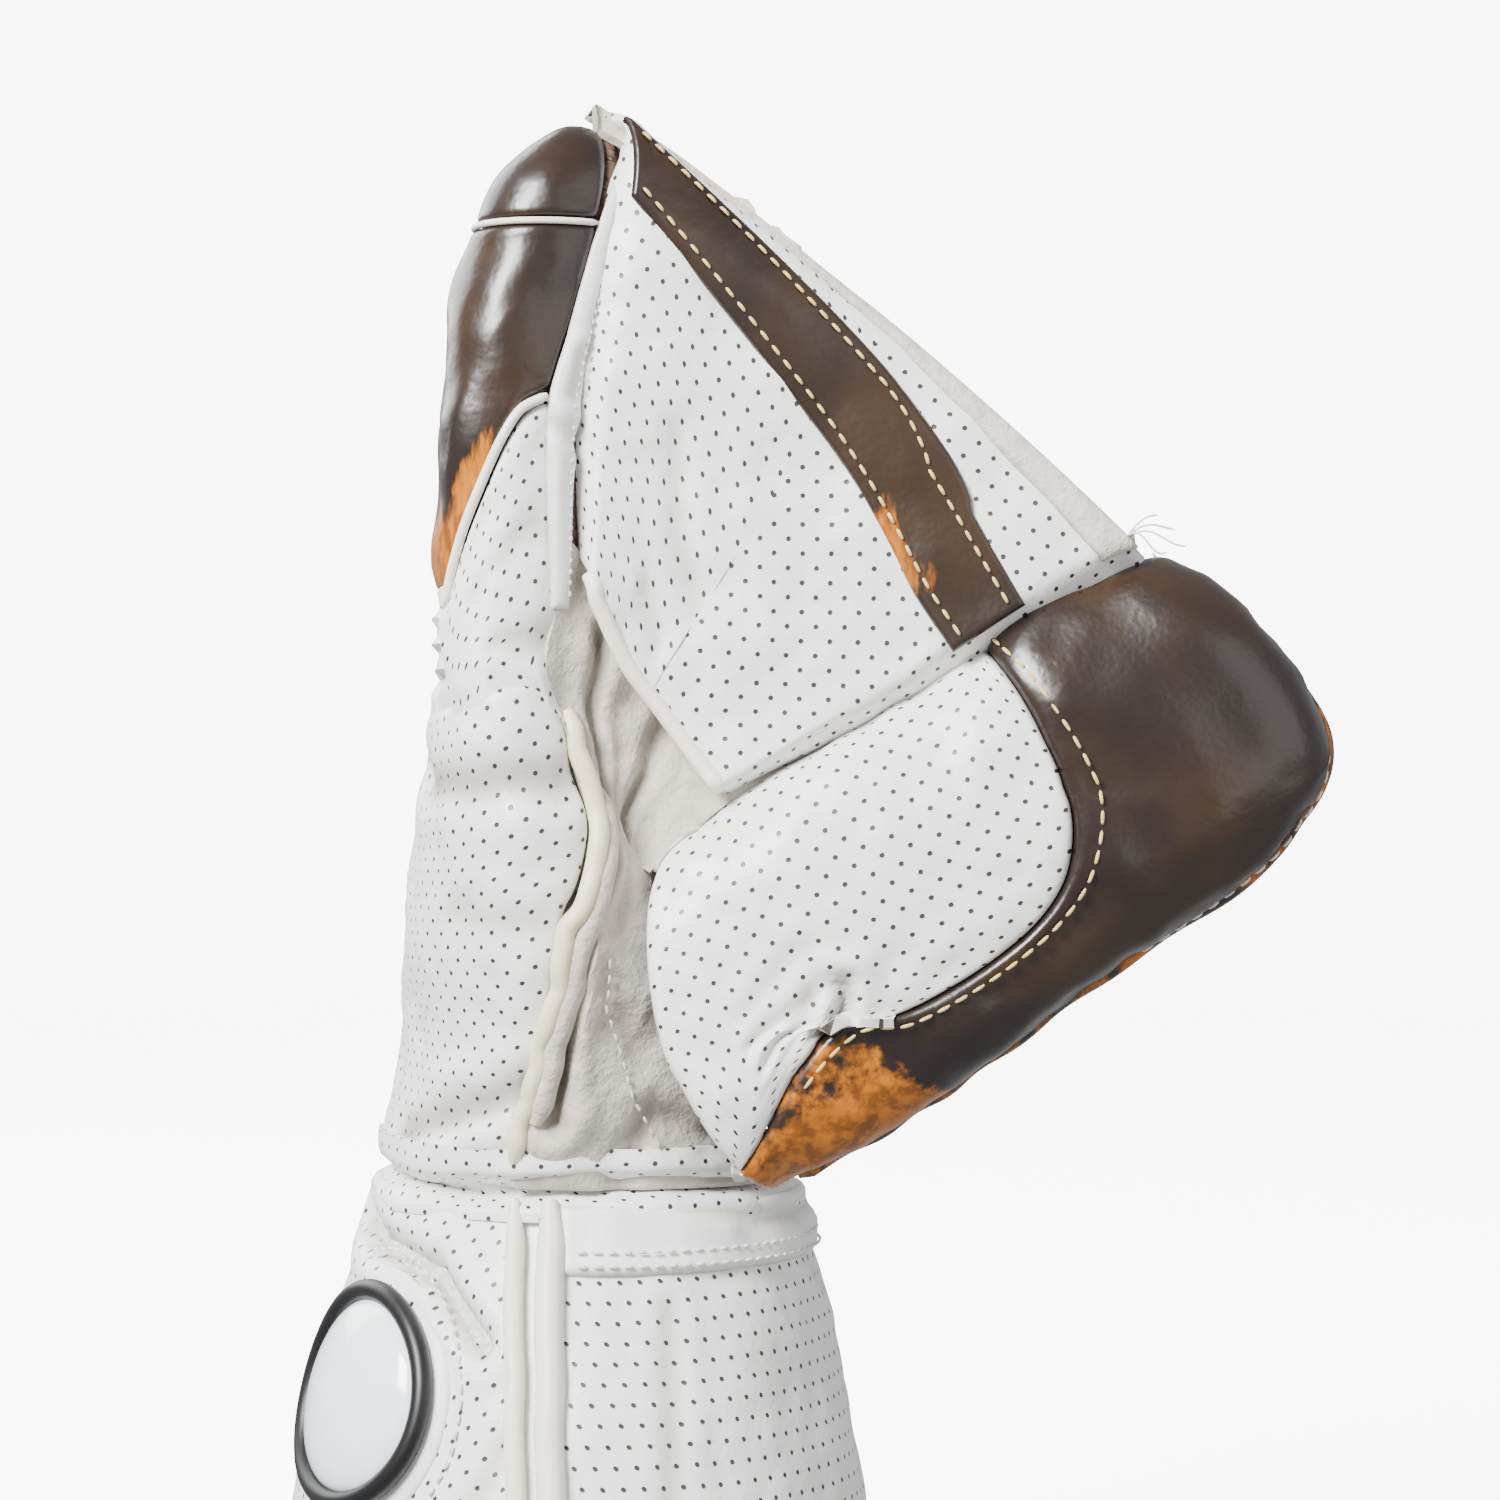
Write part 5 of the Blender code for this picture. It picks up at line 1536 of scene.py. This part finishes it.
class GLOVE_OT_web(bpy.types.Operator):
    """Makes the web: punched leather, suede back, brown stripe, folded top and bound edge"""

    bl_idname = "glove.web"
    bl_label = "Web"

    def execute(self, context):
        sizes, colours = glove_settings(context)
        white = leather_white("web_leather", sizes, colours, holes="straight")
        suede = suede_skin("web_suede", colours.suede)
        raw = suede_skin("web_raw_edge", Vector(colours.suede) * 1.15, 0.35)
        brown = leather_brown("stripe_brown", colours, streak=(40.0, 40.0, 12.0))
        cream = piping_skin("web_cream", Vector(colours.cream) * 1.05)
        gold = thread_skin("stripe_thread", colours.gold)
        for body, low, high, sides in (("index", WEB_TUCK, WEB_MIDDLE, "uvV"),
                                       ("thumb", WEB_MIDDLE, WEB_END, "UvV")):
            self.make_half(body, low, high, sides, sizes, (white, suede, raw, brown, cream, gold))
        self.make_loose_ends()
        return {"FINISHED"}

    def make_loose_ends(self):
        """Frayed thread ends where the web's top fold is sewn to the thumb's cap."""
        thread = thread_skin("loose_thread", (0.80, 0.80, 0.76))
        corner = web_point(np.array([0.975]), np.array([1.01]))[0] + FRONT * 0.0035
        share = np.linspace(0, 1, 14)
        for k, (reach, rise, curl) in enumerate(LOOSE_ENDS):
            out = reach * share
            up = rise * share + 0.0012 * np.sin(curl * share)
            forward = 0.0010 * np.sin(3 * share)
            path = corner + out[:, None] * RIGHT + stack(0, 0, up) + forward[:, None] * FRONT
            rider(make_tube(f"loose_thread_{k + 1}", path, 0.00022, thread), "thumb")

    def make_half(self, body, low, high, sides, sizes, skins):
        white, suede, raw, brown, cream, gold = skins
        start, end = web_bend(body)

        def part(name, surface, v_range, skin, nodes=(), slot=None, edges=sides, ends=(low, high),
                 **settings):
            place = span(surface, *ends, *v_range)
            piece = make_sheet(f"{name}_{body}_half", place, skin, sizes, edges=edges, **settings)
            return joined(piece, "hand", body, start, end, *nodes, slot=slot)

        folds = ()
        if body == "index":
            folds = (
                (((0.99, 0.22), (0.75, 0.30), (0.60, 0.44)), 0.0040, 0.0006),
                (((0.90, 0.10), (0.70, 0.16)), 0.0040, 0.0005),
            )
        panel = part("web_leather", web_cloth, (0.0, 1.0), white, ("web_panel",), "white_leather",
                     roll=0.0026,
                     ruck=0.0007, folds=folds, seed=70.0)
        back = part("web_back", web_cloth, (0.01, 0.99), suede, ("web_backing",), "suede",
                    lift=-0.0026,
                    wall=0.0014, ruck=0.0003, seed=71.0)

        shown = (max(low, 0.0), min(high, 1.0))

        def flame(u, v):
            at = mix(*shown, u)
            return smooth(0.55, 0.74, at) * smooth(0.99, 0.80, at) * smooth(0.80, 0.0, v) * 0.75

        part("web_brown_stripe", stripe_cloth, (0.0, 1.0), brown, ("web_stripe",), "brown_leather",
             ends=shown, lift=0.0013,
             wall=0.0014, roll=0.0013, crown=0.0003, ruck=0.0003, flame=flame, seed=72.0)
        part("web_top_fold", web_cloth, (0.938, 1.012), raw, ("web_top_binding",), "suede",
             ends=shown, lift=0.0012,
             wall=0.0030, roll=0.0016, ruck=0.0008, seed=73.0)
        knots = np.linspace(max(low, -0.02), shown[1], 12)
        path = lifted(web_cloth, knots, 0.006 + 0 * knots, -0.0008 + 0 * knots)
        joined(make_tube(f"web_low_binding_{body}_half", path, 0.0018, cream, taper=False), "hand",
               body, start, end,
               "web_low_binding", slot="cream_piping")
        shares = np.linspace(0.03 if body == "index" else 0.0, 1.0 if body == "index" else 0.97, 24)
        for k, v in enumerate((0.17, 0.83)):
            row = stitch_row(f"stripe_stitching_{k + 1}_{body}_half",
                             span(stripe_cloth, *shown, 0, 1),
                             tuple((u, v) for u in shares), gold, sizes, 0.0017, 0.0026)
            joined(row, "hand", body, start, end)


# the backdrop: its length from the middle of the floor to the wall's top, and its bend
SWEEP_LENGTH = 5.0
FLOOR_REACH = 2.4
BEND_LENGTH = 0.6
BEND_RADIUS = 0.38
CAMERA_LENS = 100
CAMERA_DISTANCE = 0.905
TARGET_HEIGHT = 0.206
TARGET_OUT = 0.0379


class GLOVE_OT_stage(bpy.types.Operator):
    """Sets the pale floor and backdrop, the soft lights and the camera"""

    bl_idname = "glove.stage"
    bl_label = "Stage"

    def execute(self, context):
        self.make_sweep()
        target = np.array((CUFF_X, CUFF_Y, TARGET_HEIGHT)) + RIGHT * TARGET_OUT
        camera = bpy.data.cameras.new("camera")
        camera.lens = CAMERA_LENS
        camera.sensor_width = 36
        eye = bpy.data.objects.new("camera", camera)
        eye.location = target + FRONT * CAMERA_DISTANCE
        self.aim(eye, target)
        context.scene.collection.objects.link(eye)
        context.scene.camera = eye
        for name, spot, power, size in (
            ("key_light", (-1.05, -0.85, 1.05), 92.0, 0.6),
            ("fill_light", (0.9, -1.3, 0.5), 9.0, 1.4),
            ("rim_light", (-0.6, 1.0, 0.9), 20.0, 1.0),
        ):
            lamp = bpy.data.lights.new(name, "AREA")
            lamp.energy = power
            lamp.size = size
            obj = bpy.data.objects.new(name, lamp)
            obj.location = spot
            self.aim(obj, target)
            context.scene.collection.objects.link(obj)
        world = bpy.data.worlds.new("studio")
        context.scene.world = world
        world.use_nodes = True
        world.node_tree.nodes["Background"].inputs["Color"].default_value = (0.95, 0.96, 0.97, 1)
        world.node_tree.nodes["Background"].inputs["Strength"].default_value = 0.62
        return {"FINISHED"}

    def aim(self, obj, target):
        way = Vector(target) - Vector(obj.location)
        obj.rotation_euler = way.to_track_quat("-Z", "Y").to_euler()

    def make_sweep(self):
        """A round floor that curves up into a wall all about the glove."""
        bpy.ops.mesh.primitive_grid_add(x_subdivisions=72, y_subdivisions=40, size=1)
        sweep = bpy.context.object
        sweep.name = "sweep"
        points = points_of(sweep)
        along = (points[:, 1] + 0.5) * SWEEP_LENGTH
        turn = points[:, 0] * 2 * math.pi
        bend = np.clip(along - FLOOR_REACH, 0, BEND_LENGTH) / BEND_LENGTH * math.pi / 2
        out = np.minimum(along, FLOOR_REACH) + BEND_RADIUS * np.sin(bend)
        up = BEND_RADIUS * (1 - np.cos(bend)) + np.maximum(along - FLOOR_REACH - BEND_LENGTH, 0)
        moved = stack(out * np.cos(turn), out * np.sin(turn), up - 0.0005)
        reshape(sweep, moved)
        paint = Paint("sweep_paper", roughness=0.9)
        paint.surface.inputs["Emission Color"].default_value = (1, 1, 1, 1)
        paint.surface.inputs["Emission Strength"].default_value = 7.5
        cloudy = paint.noise(1.5, 2.0)
        paper = paint.blend(cloudy * 0.1, (0.93, 0.93, 0.925), (0.90, 0.90, 0.90))
        dressed(sweep, paint.finish(paper))
        sweep.visible_diffuse = False
        sweep.visible_glossy = False
        sweep.visible_shadow = False
        sweep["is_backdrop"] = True


class GLOVE_PT_panel(bpy.types.Panel):
    """Lists the glove's makers, in the order in which they run"""

    bl_idname = "GLOVE_PT_panel"
    bl_label = "Wicket-keeping glove"
    bl_space_type = "VIEW_3D"
    bl_region_type = "UI"
    bl_category = "Glove"

    def draw(self, context):
        for maker in MAKERS:
            self.layout.operator(maker.bl_idname)
        for group in (context.scene.glove_sizes, context.scene.glove_colours):
            for key in group.bl_rna.properties.keys():
                if key not in ("rna_type", "name"):
                    self.layout.prop(group, key)


MAKERS = (
    GLOVE_OT_cuff, GLOVE_OT_cuff_piping, GLOVE_OT_badge, GLOVE_OT_wrist, GLOVE_OT_hand,
    GLOVE_OT_fingers,
    GLOVE_OT_index_side, GLOVE_OT_thumb, GLOVE_OT_web, GLOVE_OT_stage,
)
CLASSES = (GloveSizes, GloveColours, *MAKERS, GLOVE_PT_panel)


def register():
    for part in CLASSES:
        bpy.utils.register_class(part)
    bpy.types.Scene.glove_sizes = PointerProperty(type=GloveSizes)
    bpy.types.Scene.glove_colours = PointerProperty(type=GloveColours)


def unregister():
    del bpy.types.Scene.glove_colours
    del bpy.types.Scene.glove_sizes
    for part in reversed(CLASSES):
        bpy.utils.unregister_class(part)


def plain(corners):
    return [[float(value) for value in corner] for corner in corners]


def main():
    before = plain(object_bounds())
    register()
    for maker in MAKERS:
        group, name = maker.bl_idname.split(".")
        getattr(getattr(bpy.ops, group), name)()
    {"frame": before, "finished": plain(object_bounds())}


if __name__ == "__main__":
    main()
